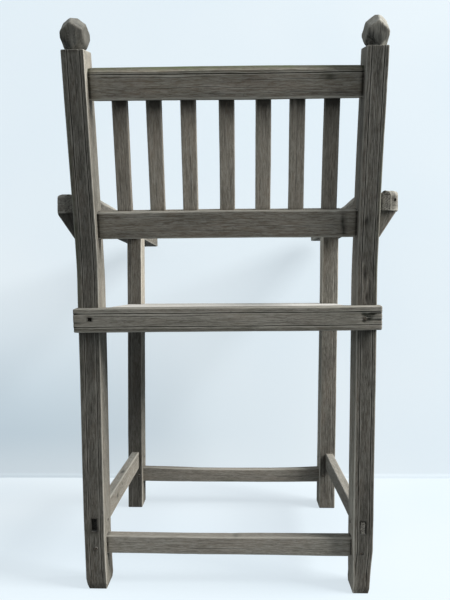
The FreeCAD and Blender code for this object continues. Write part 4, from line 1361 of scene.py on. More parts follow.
            # Painted light and shade: each facet's tone follows the way it faces.
            shares = (max(way.y, 0) ** 2 * rear + max(across, 0) ** 2 * inner + max(-across, 0) ** 2 * outer
                      + max(way.z, 0) ** 2 * 0.65 + max(-way.z, 0) ** 2 * 0.55 + max(-way.y, 0) ** 2)
            soil, dent, pale, _ = felt(self.top_touches, vertex.co)
            vertex[block.marks] = (vertex[block.marks][0], min(soil, 1), self.top_moss, 0)
            vertex[block.tone] = shares * (1 + 0.5 * noise.noise(local * 60)) + pale
            vertex.co -= way * dent


@dataclass
class BackPanel:
    """The leaning back: a bevelled top rail, a lower rail and seven slats."""

    finishes: Finishes
    top_low: float = 0.28
    top_height: float = 0.052
    low_low: float = 0.051
    low_height: float = 0.0476
    low_droop: float = 0.0013
    thickness: float = 0.024
    recess: float = 0.014
    bevel: float = 0.007
    slat_width: float = 0.026
    slat_thickness: float = 0.011
    slat_shares: tuple[float, ...] = (-0.787, -0.534, -0.282, -0.011, 0.270, 0.525, 0.778)
    slat_tones: tuple[float, ...] = (1.02, 1.34, 1.4, 1.34, 1.42, 1.3, 1.15)

    def build(self) -> list[Piece]:
        """Builds the two rails and the slats."""
        return [self.top_rail(), self.lower_rail(), *(self.slat(number) for number in range(1, 8))]

    def rail(self, low: float, droop: float, height: float) -> list[Station]:
        """Lays out a rail between the posts.

        Args:
            low: Run up the back to its low edge.
            droop: How far its left end is lower.
            height: Its height.

        Returns:
            The sections.
        """
        inward = self.recess + self.thickness
        return even_stations(VIEW.on_back(-INNER_HALF - SINK_IN, low, inward),
                             VIEW.on_back(INNER_HALF + SINK_IN, low - droop, inward),
                             (BACK_UP, BACK_OUT), (0, height, 0, self.thickness))

    def top_rail(self) -> Piece:
        """The top rail, with a bevel and a scratched groove along its top and a slight bow.

        Returns:
            The rail.
        """
        sections = self.rail(self.top_low, 0, self.top_height)
        start = sections[0].origin
        edge, y = start.z + self.top_height * BACK_UP.z, start.y + 0.02
        marks = touches(
            *((x, y, edge, 0.07, 0.05, 0.0075, 0, 0, 0, moss)
              for x, moss in ((-0.21, 0.8), (-0.11, 0.9), (0, 1), (0.1, 1), (0.2, 0.8))),
            (-0.171, 0.408, 0.8925, 0.011, 0.03, 0.004, 0.85, 0.001),
            (-0.158, 0.408, 0.894, 0.005, 0.03, 0.0022, 0.6, 0, 0.5),
            (-0.148, 0.408, 0.8955, 0.006, 0.03, 0.003, 0.5),
            (0, y, edge - 0.0072, 0.6, 0.05, 0.0026, 0.45),
            (0, y, start.z, 0.6, 0.05, 0.0022, 0.5),
            # Grime and painted shade where the rail meets each post, with a slight dent.
            (-0.2243, 0.405, 0.885, 0.0022, 0.05, 0.05, 1.3, 0.0012),
            (0.2226, 0.405, 0.885, 0.0024, 0.05, 0.05, 1.4, 0.0014),
            (0, y, edge - 0.0015, 0.6, 0.05, 0.0075, 0, 0, -0.7))
        lines = cut_lines(
            (self.top_height - self.bevel - 0.0048, 0.002, 0.0014),
            (0.03, 0.001, 0.0011, 0.04, 0.2, 0.002, 0.05),
            (0.0355, 0.001, 0.0012, 0.24, 0.43, 0.0015, 0.05),
            (0.019, 0.0009, 0.001, 0.12, 0.36, 0.0025, 0.08),
            (0.0105, 0.0008, 0.0009, 0.03, 0.3, 0.002, 0.08))
        bowed = []
        for section in sections:
            x = section.origin.x
            bow = 0.0005 * math.cos(x * 9) - 0.0012 * max(0, -x - 0.1) / 0.125
            bowed.append(replace(section, high_u=section.high_u + bow))
        return Timber(bowed, 3.7, lines, marks, arris=(self.bevel, 0.0016, 0.0016, 0.0022), chamfered=(0,),
                      column=0.0048, tone=1.4, base_moss=0.04, chips=0.003).piece("top_rail", self.finishes.rail)

    def lower_rail(self) -> Piece:
        """The lower rail, with its ends darkened by grime and painted shade at the joints, a painted highlight along
        its top edge, a stained patch and a scrape.

        Returns:
            The rail.
        """
        sections = self.rail(self.low_low, self.low_droop, self.low_height)
        low_z = sections[0].origin.z
        top_z = low_z + self.low_height * BACK_UP.z
        marks = touches(
            (-0.2003, 0.3485, 0.664, 0.0032, 0.03, 0.013, 1),
            (-0.2035, 0.346, 0.65, 0.0028, 0.03, 0.008, 0.9),
            (-0.203, 0.357, top_z, 0.006, 0.03, 0.004, 0.3, 0.0016),
            (-0.185, 0.3536, 0.6805, 0.009, 0.02, 0.003, 0, 0.0014, 0.6),
            # Grime and painted shade where the rail meets each post, with a slight dent.
            (-0.2243, 0.349, 0.665, 0.0022, 0.05, 0.05, 1.3, 0.0012),
            (0.2226, 0.349, 0.665, 0.0024, 0.05, 0.05, 1.4, 0.0014),
            (0.05, 0.35, 0.672, 0.05, 0.03, 0.006, 0.2),
            (0, 0.36, low_z, 0.6, 0.05, 0.0018, 0.6),
            # Painted highlight: a lighter line along the rail's top edge.
            (0, 0.36, top_z, 0.6, 0.05, 0.0028, 0, 0, 0.65))
        lines = cut_lines(
            (0.038, 0.001, 0.0009, 0.3, 0.44, 0.0016, 0.05),
            (0.021, 0.0009, 0.0009, 0.02, 0.17, 0.002, 0.05),
            (0.0125, 0.0008, 0.0008, 0.2, 0.4, 0.002, 0.08))
        return Timber(sections, 5.2, lines, marks, arris=(0.0028, 0.0016, 0.0016, 0.0022), column=0.0048, tone=1.4,
                      base_moss=0.03).piece("lower_back_rail", self.finishes.rail)

    def slat(self, number: int) -> Piece:
        """One slat, grey below, with painted shade darkening it just under the top rail.

        Args:
            number: Its place, counted from the right.

        Returns:
            The slat.
        """
        x, half = INNER_HALF * self.slat_shares[number - 1], self.slat_width / 2
        rear = self.recess + (self.thickness - self.slat_thickness) / 2
        start = VIEW.on_back(x, self.low_low + self.low_height - SINK_IN, rear)
        end = VIEW.on_back(x, self.top_low + SINK_IN, rear)
        sections = even_stations(start, end, (ACROSS, BACK_OUT), (-half, half, -self.slat_thickness, 0))
        marks = touches(
            # Painted shade: the first two marks darken the slat's top under the top rail.
            (x, end.y, end.z - 0.004, 0.05, 0.05, 0.052, 0.52 + 0.1 * math.sin(number * 2.3)),
            (x, end.y, end.z, 0.05, 0.05, 0.017, 0.5),
            (x, start.y, start.z, 0.05, 0.05, 0.004, 0.4))
        lines = cut_lines(
            (0.007 + 0.0012 * (number % 4) * 3, 0.0009, 0.0008, 0.01, 0.05 + 0.02 * (number % 3),
             0.0014, 0.03))
        return Timber(sections, 6 + number * 0.77, lines, marks, column=0.0052, arris=(0.0017,) * 4,
                      tone=self.slat_tones[number - 1]).piece(f"back_slat_{number}", self.finishes.slat)


@dataclass
class SeatFrame:
    """The rails under the seat and the boards on them."""

    finishes: Finishes
    rail_low: float = 0.478
    rail_height: float = 0.042
    rail_thickness: float = 0.022
    rail_let_in: float = 0.008
    overhang: float = 0.007
    groove_inset: float = 0.0094
    seat_top: float = 0.51
    board_thickness: float = 0.014
    board_gap: float = 0.0025
    board_count: int = 4
    side_rail_width: float = 0.022
    side_rail_height: float = 0.026
    front_rail_height: float = 0.038
    front_rail_thickness: float = 0.02
    front_rail_recess: float = 0.006

    def build(self) -> list[Piece]:
        """Builds the four rails and the boards."""
        return [self.rear_rail(), self.front_rail(), *(self.side_rail(side) for side in Side),
                *(self.board(number) for number in range(1, self.board_count + 1))]

    def rear_rail(self) -> Piece:
        """The rail housed across the posts, with two grooves, worn ends, a square hole and a knot.

        Returns:
            The rail.
        """
        half = HALF_SPREAD + self.overhang
        start = VIEW.on_leg(-half - 0.0008, self.rail_low + 0.0013, self.rail_let_in)
        end = VIEW.on_leg(half, self.rail_low - 0.0025, self.rail_let_in)
        sections = even_stations(start, end, (LEG_UP, LEG_OUT), (0, self.rail_height, 0, self.rail_thickness), 0.0075)
        y, low_z, high_z = 0.3517, start.z, start.z + self.rail_height
        marks = touches(
            (-0.2425, y, 0.4975, 0.006, 0.02, 0.0052, 1.6, 0.0035),
            (-0.2495, y, 0.504, 0.006, 0.02, 0.003, 1.4, 0.0022),
            (-0.236, y, 0.5045, 0.005, 0.02, 0.0026, 1.3, 0.0016),
            (-0.236, y, 0.4925, 0.0035, 0.02, 0.0022, 1.1, 0.0012),
            (-0.2605, y, 0.5065, 0.012, 0.02, 0.0013, 1, 0.0012),
            (-0.2605, y, 0.4945, 0.012, 0.02, 0.0013, 1, 0.0012),
            (-0.2675, y, high_z, 0.005, 0.03, 0.004, 0.3),
            (0.267, y, high_z, 0.005, 0.03, 0.004, 0.2, 0.001),
            (0.267, y, low_z, 0.006, 0.03, 0.006, 0.2, 0.001),
            (0, y, low_z, 0.6, 0.05, 0.002, 0.5),
            (0.262, y, 0.506, 0.008, 0.02, 0.0016, 0.6, 0.0008),
            (0.262, y, 0.49, 0.008, 0.02, 0.0016, 0.6, 0.0008),
            (0, y, 0.499, 0.2, 0.03, 0.012, 0, 0, 0.12))
        lines = cut_lines(
            (self.rail_height - self.groove_inset, 0.002, 0.0014),
            (self.groove_inset, 0.002, 0.0014),
            (0.0225, 0.0009, 0.001, -0.1, 0.07, 0.002, 0.03),
            (0.0275, 0.0009, 0.001, 0.3, 0.5, 0.0015, 0.06),
            (0.0165, 0.0008, 0.0008, 0.14, 0.36, 0.002, 0.08))
        carcass = Timber(sections, 9.1, lines, marks, arris=(0.0017, 0.0016, 0.0016, 0.0022), chips=0.004,
                         column=0.0045, start_wear=0.0026, end_wear=0.003, tone=1.06,
                         base_moss=0.05).start("rear_seat_rail")
        hole = VIEW.on_leg(SEAT_PEG_X, self.rail_low + self.rail_height / 2, self.rail_let_in - self.rail_thickness)
        carcass.pocket(hole, LEG_OUT, LEG_UP, (0.0033, 0.0035), 0.011)
        return carcass.finish(self.finishes.stretcher)

    def side_rail(self, side: Side) -> Piece:
        """A side seat rail between the rear post and the front leg.

        Args:
            side: Its side.

        Returns:
            The rail.
        """
        top, height, half = self.seat_top - self.board_thickness, self.side_rail_height, self.side_rail_width / 2
        low = top - height
        x = side.value * (INNER_HALF + POST_WIDTH / 2)
        rear_low, rear_high = (VIEW.face_depth(z, True) - SINK_IN for z in (low, top))
        start, end = VIEW.point(x, rear_low, low), VIEW.point(x, LEG_REAR_DEPTH + SINK_IN, low)
        tilt = Vector((0, rear_low - rear_high, height)).normalized()
        sections = [Station(start.lerp(end, step / 46), ACROSS, tilt.lerp(UP, step / 46), -half, half, 0, height)
                    for step in range(47)]
        return Timber(sections, 11.3 + side.value, column=0.006).piece(f"side_seat_rail_{side.word}",
                                                                       self.finishes.rail)

    def front_rail(self) -> Piece:
        """The front seat rail between the front legs.

        Returns:
            The rail.
        """
        low = self.seat_top - self.board_thickness - self.front_rail_height
        depth = LEG_REAR_DEPTH + LEG_DEPTH - self.front_rail_recess
        sections = even_stations(VIEW.point(-LEG_INNER_HALF - SINK_IN, depth, low),
                                 VIEW.point(LEG_INNER_HALF + SINK_IN, depth, low), (UP, REARWARDS),
                                 (0, self.front_rail_height, 0, self.front_rail_thickness))
        lines = cut_lines((0.009, 0.002, 0.0012), (0.029, 0.002, 0.0012), face=Face.V_LOW)
        return Timber(sections, 12.9, lines, column=0.006, tone=1.05).piece("front_seat_rail", self.finishes.rail)

    def board(self, number: int) -> Piece:
        """One seat board, lofted across the chair; the first is cut round the posts and the last round the legs.

        Args:
            number: Its place, counted from the rear.

        Returns:
            The board.
        """
        low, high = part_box(f"seat_board_{number}")
        notch = None
        if number == 1:
            depth = VIEW.face_depth(low.z, True) + self.board_gap
            notch = (INNER_HALF - self.board_gap, low.y, VIEW.floor_line - depth)
        if number == self.board_count:
            notch = (LEG_INNER_HALF - self.board_gap, VIEW.floor_line - LEG_REAR_DEPTH + self.board_gap, high.y)
        places = [low.x + (high.x - low.x) * step / 64 for step in range(65)]
        if notch:
            places = [x for x in places if min(abs(x - notch[0]), abs(x + notch[0])) > 0.003]
            places += [sign * (notch[0] + step) for sign in (-1, 1) for step in (-0.0005, 0.0006)]
        sections = []
        for x in sorted(places):
            reach = notch[1:] if notch and abs(x) > notch[0] else (low.y, high.y)
            sections.append(Station(Vector((x, 0, 0)), REARWARDS, UP, *reach, low.z, high.z))
        marks = touches((0.1048, -0.0462, high.z, 0.016, 0.02, 0.01, 0.6)) if number == 3 else ()
        middle = (low.y + high.y) / 2 - low.y
        lines = cut_lines(
            (middle * 0.6, 0.0011, 0.001, 0.05 + 0.04 * number, 0.3, 0.004, 0.08),
            (middle * 1.45, 0.0011, 0.001, 0.2, 0.36 + 0.03 * number, 0.004, 0.08))
        return Timber(sections, 20 + number * 1.7, lines, marks, arris=(0.0024,) * 4, column=0.007, sway=0.0004,
                      tone=1 + 0.08 * math.sin(number * 2.6)).piece(f"seat_board_{number}", self.finishes.seat,
                                                                      Slot.SEAT)


@dataclass
class FrontLeg:
    """A straight front leg; the right one leans inwards at the foot."""

    finishes: Finishes
    side: Side
    seed: float
    tone: float
    inner_tone_and_light: float
    top_shift: float
    foot_shift: float = 0.0
    outward: float = 0.0
    inward: float = 0.0
    touches: tuple[Touch, ...] = ()
    height: float = 0.681
    groove_inset: float = 0.009

    def build(self) -> list[Piece]:
        """Builds the leg and drills its two peg holes.

        Returns:
            The leg alone.
        """
        sign, depth, half = self.side.value, LEG_REAR_DEPTH + LEG_DEPTH / 2, LEG_DEPTH / 2
        low, high = sorted((sign * (LEG_INNER_HALF - self.inward), sign * (HALF_SPREAD + self.outward)))
        sections = even_stations(VIEW.point(self.foot_shift, depth, 0),
                                 VIEW.point(self.top_shift, depth, self.height + SINK_IN),
                                 (ACROSS, REARWARDS), (low, high, -half, half))
        outer = self.side.pick(LEG_WIDTH - self.groove_inset, self.groove_inset)
        lines = (*cut_lines((outer, 0.0016, 0.001)),
                 *cut_lines((0.008, 0.0016, 0.001), (0.028, 0.0016, 0.001), face=Face.V_LOW))
        carcass = Timber(sections, self.seed, lines, self.touches, arris=(0.0015,) * 4, start_wear=0.002,
                         tone=self.tone, face_tones_and_light=self.side.tones(self.inner_tone_and_light)).start(
                             f"front_leg_{self.side.word}")
        for group in (PegGroup.FRONT, PegGroup.SIDE_FRONT):
            group.drill(carcass, self.side, self.foot_shift * 0.88)
        return [carcass.finish(self.finishes.post)]


@dataclass
class Arm:
    """A long flat arm let in round its post, with rounded top edges and worn ends, and its bracket."""

    finishes: Finishes
    side: Side
    seed: float
    tone: float
    tip_rise: float
    tip_out: float
    touches: tuple[Touch, ...]
    thickness: float = 0.034
    overhang: float = 0.034
    inner_round: float = 0.0095
    outer_round: float = 0.0046
    lower_round: float = 0.0022
    inner_corner: float = 0.005
    underside: float = 0.681
    rear_end: float = 0.052
    reach: float = 0.25
    corner: float = 0.014
    end_gaps: tuple[float, ...] = (0.0, 0.002, 0.005, 0.009, 0.014)
    bracket_height: float = 0.044
    bracket_toe: float = 0.003
    bracket_depth: float = 0.036
    bracket_setback: float = 0.005

    @staticmethod
    def eased(gap: float, radius: float) -> float:
        """How far a corner rounded in plan draws in at a gap from the end."""
        return radius - math.sqrt(max(radius ** 2 - max(radius - gap, 0) ** 2, 0))

    def section(self, depth: float, front: float) -> Station:
        """The arm's section at a depth, with its plan corners rounded off.

        Args:
            depth: Forwards of the floor line.
            front: The depth of the arm's front end.

        Returns:
            The station.
        """
        post_front = VIEW.face_depth(self.underside, True)
        share = max(0, depth - post_front) / (front - post_front)
        outer = HALF_SPREAD + self.overhang - self.eased(min(depth + self.rear_end, front - depth), self.corner)
        inner = (HALF_SPREAD if depth < post_front else INNER_HALF) + self.eased(front - depth, self.inner_corner)
        low, high = sorted(self.side.value * (edge + self.tip_out * share) for edge in (inner, outer))
        lean = math.tan(VIEW.back_lean) * max(0, 1 - abs(depth - post_front) / 0.02)
        return Station(VIEW.point(0, depth, self.underside + self.tip_rise * share), ACROSS, Vector((0, lean, 1)),
                       low, high, 0, self.thickness)

    def build(self) -> list[Piece]:
        """Builds the arm and its bracket.

        Returns:
            Both pieces.
        """
        side, back = self.side, self.rear_end
        front = LEG_REAR_DEPTH + LEG_DEPTH + self.reach
        post_front = VIEW.face_depth(self.underside, True)
        plain = [-back + 0.02 + (front - 0.02 + back - 0.02) * step / 92 for step in range(93)]
        depths = [depth for depth in plain
                  if abs(depth - post_front) > 0.004 and -back + 0.014 < depth < front - 0.015]
        depths += [post_front - 0.0006, post_front + 0.0006]
        depths += [-back + gap for gap in self.end_gaps] + [front - gap for gap in self.end_gaps]
        sections = [self.section(depth, front) for depth in sorted(depths, reverse=True)]
        top_rounds = side.pick((self.outer_round, self.inner_round), (self.inner_round, self.outer_round))
        lines = (*cut_lines((side.pick(0.012, 0.057), 0.0011, 0.0013, 0.1, 0.36, 0.003, 0.08),
                            (0.036, 0.0012, 0.0014, 0.34, 0.62, 0.004, 0.1)),
                 *cut_lines((0.017, 0.0011, 0.0014, 0.45, 0.9, 0.002, 0.06), face=Face.U_HIGH),
                 *cut_lines((0.02, 0.0011, 0.0014, 0.3, 0.6, 0.002, 0.06), face=Face.U_LOW))
        carcass = Timber(sections, self.seed, lines, self.touches, arris=(*top_rounds, *(self.lower_round,) * 2),
                         chips=0.005, column=0.007, start_wear=0.0025, end_wear=0.0022,
                         tone=self.tone).start(f"arm_{side.word}")
        if side is Side.RIGHT:
            x, y = side.value * (HALF_SPREAD + 0.0289), VIEW.floor_line + back - 0.001
            carcass.pocket(Vector((x, y, self.underside + 0.019)), REARWARDS, UP, (0.0021, 0.0017), 0.014)
        return [carcass.finish(self.finishes.arm), self.bracket()]

    def bracket(self) -> Piece:
        """The triangular bracket between the post's outer face and the arm's underside.

        Returns:
            The bracket.
        """
        side, low = self.side, self.underside - self.bracket_height
        rear = VIEW.floor_line + self.rear_end - self.bracket_setback
        reach = self.overhang - side.pick(0.002, 0.0048)
        sections = []
        for share in (step / 12 for step in range(13)):
            z = low + (self.bracket_height + SINK_IN) * share
            out = self.bracket_toe + (reach - self.bracket_toe) * min(1, share * 1.06)
            edges = sorted((side.value * (HALF_SPREAD - SINK_IN), side.value * (HALF_SPREAD + out)))
            sections.append(Station(Vector((0, rear, z)), ACROSS, REARWARDS, *edges, -self.bracket_depth, 0))
        # Painted shade: on the left bracket a broad dark mark here and, below, a lower tone.
        marks = touches((side.value * 0.275, rear, low + 0.03, 0.03, 0.05, 0.03, side.pick(0.55, 0.1)))
        return Timber(sections, self.seed + 4.4, (), marks, arris=(0.0012,) * 4,
                      tone=side.pick(0.75, 1.15)).piece(f"arm_bracket_{side.word}", self.finishes.post)


@dataclass
class Stretchers:
    """The four stretchers round the legs."""

    finishes: Finishes
    back_low: float = 0.062
    back_height: float = 0.033
    back_depth: float = 0.02
    back_recess: float = 0.016
    back_droop: float = 0.0036
    back_swell: float = 0.003
    front_low: float = 0.0602
    front_height: float = 0.0368
    front_thickness: float = 0.024
    front_recess: float = 0.018
    front_wear: float = 0.0045
    side_low: float = 0.098
    side_height: float = 0.038
    side_width: float = 0.018
    tenon_low: float = 0.108
    tenon_height: float = 0.023
    tenon_width: float = 0.01
    tenon_spare: float = 0.0009

    def build(self) -> list[Piece]:
        """Builds all four."""
        return [self.back(), self.front(), *(self.side(side) for side in Side)]

    def back(self) -> Piece:
        """The back stretcher between the rear posts, a little deeper and lower at its right end.

        Returns:
            The stretcher.
        """
        inward = self.back_recess + self.back_depth
        start = VIEW.on_leg(-INNER_HALF - SINK_IN, self.back_low - self.back_droop, inward)
        end = VIEW.on_leg(INNER_HALF + SINK_IN, self.back_low, inward)
        sections = []
        for section in even_stations(start, end, (LEG_UP, LEG_OUT), (0, self.back_height, 0, self.back_depth)):
            swell = self.back_swell * max(0, -section.origin.x / INNER_HALF)
            sections.append(replace(section, high_u=self.back_height + swell))
        marks = touches(
            # Grime and painted shade where the stretcher meets each post.
            (-0.2243, 0.29, 0.078, 0.0022, 0.05, 0.03, 1.1),
            (0.2226, 0.29, 0.078, 0.0024, 0.05, 0.03, 1.1),
            (0, 0.28, start.z + self.back_height + 0.001, 0.6, 0.05, 0.0035, 0, 0, -0.35),
            (-0.0145, 0.294, 0.0945, 0.006, 0.02, 0.003, 0.6))
        lines = cut_lines(
            (0.012, 0.0009, 0.0008, 0.05, 0.3, 0.002, 0.08),
            (0.0215, 0.0008, 0.0007, 0.22, 0.42, 0.0015, 0.08))
        return Timber(sections, 14.4, lines, marks, arris=(0.0022,) * 4,
                      tone=1.52).piece("back_stretcher", self.finishes.stretcher)

    def front(self) -> Piece:
        """The front stretcher, worn hollow along its top.

        Returns:
            The stretcher.
        """
        depth = LEG_REAR_DEPTH + self.front_recess + self.front_thickness
        start = VIEW.point(-LEG_INNER_HALF - 0.004, depth, self.front_low)
        end = VIEW.point(LEG_INNER_HALF + SINK_IN, depth, self.front_low)
        sections = []
        for section in even_stations(start, end, (UP, REARWARDS), (0, self.front_height, 0, self.front_thickness)):
            x = min(1, abs(section.origin.x / LEG_INNER_HALF))
            worn = self.front_wear * (1 - x ** 2.4) + 0.0006
            sections.append(replace(section, high_u=self.front_height - worn, low_u=-(0.0012 * (1 - x ** 2))))
        marks = touches(
            (-0.02, start.y, 0.1, 0.16, 0.05, 0.006, 0, 0, 0.1),
            (0.01, start.y, 0.06, 0.03, 0.05, 0.006, 0.5, 0, 0, 0.3))
        lines = cut_lines((0.014, 0.0009, 0.0008, 0.05, 0.3, 0.002, 0.08))
        return Timber(sections, 15.8, lines, marks, arris=(0.003, 0.003, 0.002, 0.011),
                      tone=1.26).piece("front_stretcher", self.finishes.stretcher)

    def side(self, side: Side) -> Piece:
        """A side stretcher and the end of its tenon in the rear post.

        Args:
            side: Its side.

        Returns:
            The stretcher.
        """
        x, half = side.value * (INNER_HALF + POST_WIDTH / 2), self.side_width / 2
        lift, rise = side.pick((0, 0.003), (0.005, 0))
        start = VIEW.point(x, VIEW.face_depth(self.side_low, True) - 0.004, self.side_low)
        end = VIEW.point(x, LEG_REAR_DEPTH + SINK_IN, self.side_low)
        sections = []
        for section in even_stations(start, end, (ACROSS, UP), (-half, half, 0, self.side_height)):
            share = (section.origin - start).length / (end - start).length
            sections.append(replace(section, low_v=lift * (1 - share), high_v=section.high_v + rise))
        marks = touches(
            (0.2335, 0.1367, 0.1185, 0.01, 0.008, 0.004, 0.9),
            (0.2335, 0.085, 0.127, 0.01, 0.006, 0.003, 0.6),
            (0.2427, 0.0344, 0.14, 0.004, 0.012, 0.004, 1.2, 0.001))
        carcass = Timber(sections, 16.9 + side.value * 0.8, (), marks, arris=(0.002,) * 4, column=0.006,
                         tone=side.pick(1.75, 1.1)).start(f"side_stretcher_{side.word}")
        face = VIEW.on_leg(x, self.tenon_low + self.tenon_height / 2, side.pick(0.0072, 0.0008))
        spare, halves = self.tenon_spare, (self.tenon_width / 2, self.tenon_height / 2)
        reach = (-halves[0] + spare, halves[0] - spare, -halves[1] + spare, halves[1] - spare)
        stub = even_stations(face - LEG_OUT * 0.02, face, (ACROSS, LEG_UP), reach, 0.005)
        Timber(stub, 18.3, column=0.004, arris=(0.0006,) * 4, tone=side.pick(0.22, 0.85), chips=0).build(carcass)
        return carcass.finish(self.finishes.stretcher)


@dataclass
class Pegs:
    """The pegs that pin the joints, whittled nearly flush with the wood."""

    finishes: Finishes
    radius: float = 0.0032
    proud: float = 0.0004
    length: float = 0.012
    right_shift: float = 0.0062
    square_edge: float = 0.0005
    seat_peg_run: float = 0.499
    seat_rail_face: float = 0.014

    def build(self) -> list[Piece]:
        """Builds each group of pegs as one piece.

        Returns:
            The groups.
        """
        made = []
        for group in PegGroup:
            carcass = Carcass(group.value)
            for number, side in enumerate(Side):
                spot = group.spot(side, side.pick(0, self.right_shift))
                self.peg(carcass, *spot, number, self.radius * 0.93)
            made.append(carcass.finish(self.finishes.peg, Slot.PEG))
        carcass = Carcass("seat_rail_pegs")
        for number, side in enumerate(Side, start=5):
            inward = side.pick(0.009, 0.001) - self.seat_rail_face
            face = VIEW.on_leg(side.value * SEAT_PEG_X, self.seat_peg_run, inward)
            self.peg(carcass, face, LEG_OUT, number, self.square_edge)
        return [*made, carcass.finish(self.finishes.peg, Slot.PEG)]

    def peg(self, carcass: Carcass, face: Vector, way: Vector, number: int, roundness: float) -> None:
        """One peg, with its outer end just proud of the wood.

        Args:
            carcass: The group's carcass.
            face: Where its hole meets the surface.
            way: Out of the surface.
            number: Tells it from its fellows.
            roundness: Radius of its long edges.
        """
        second = way.cross(UP if abs(way.z) < 0.9 else ACROSS).normalized()
        first = second.cross(way).normalized()
        sections = even_stations(face - way * self.length, face + way * self.proud, (first, second),
                                 (-self.radius, self.radius) * 2, 0.004)
        Timber(sections, 30 + number * 2.2, arris=(roundness,) * 4, chips=0, column=0.003,
               end_wear=0.0007, hew=0.0001, sway=0, tone=0.9).build(carcass)


# ---- studio


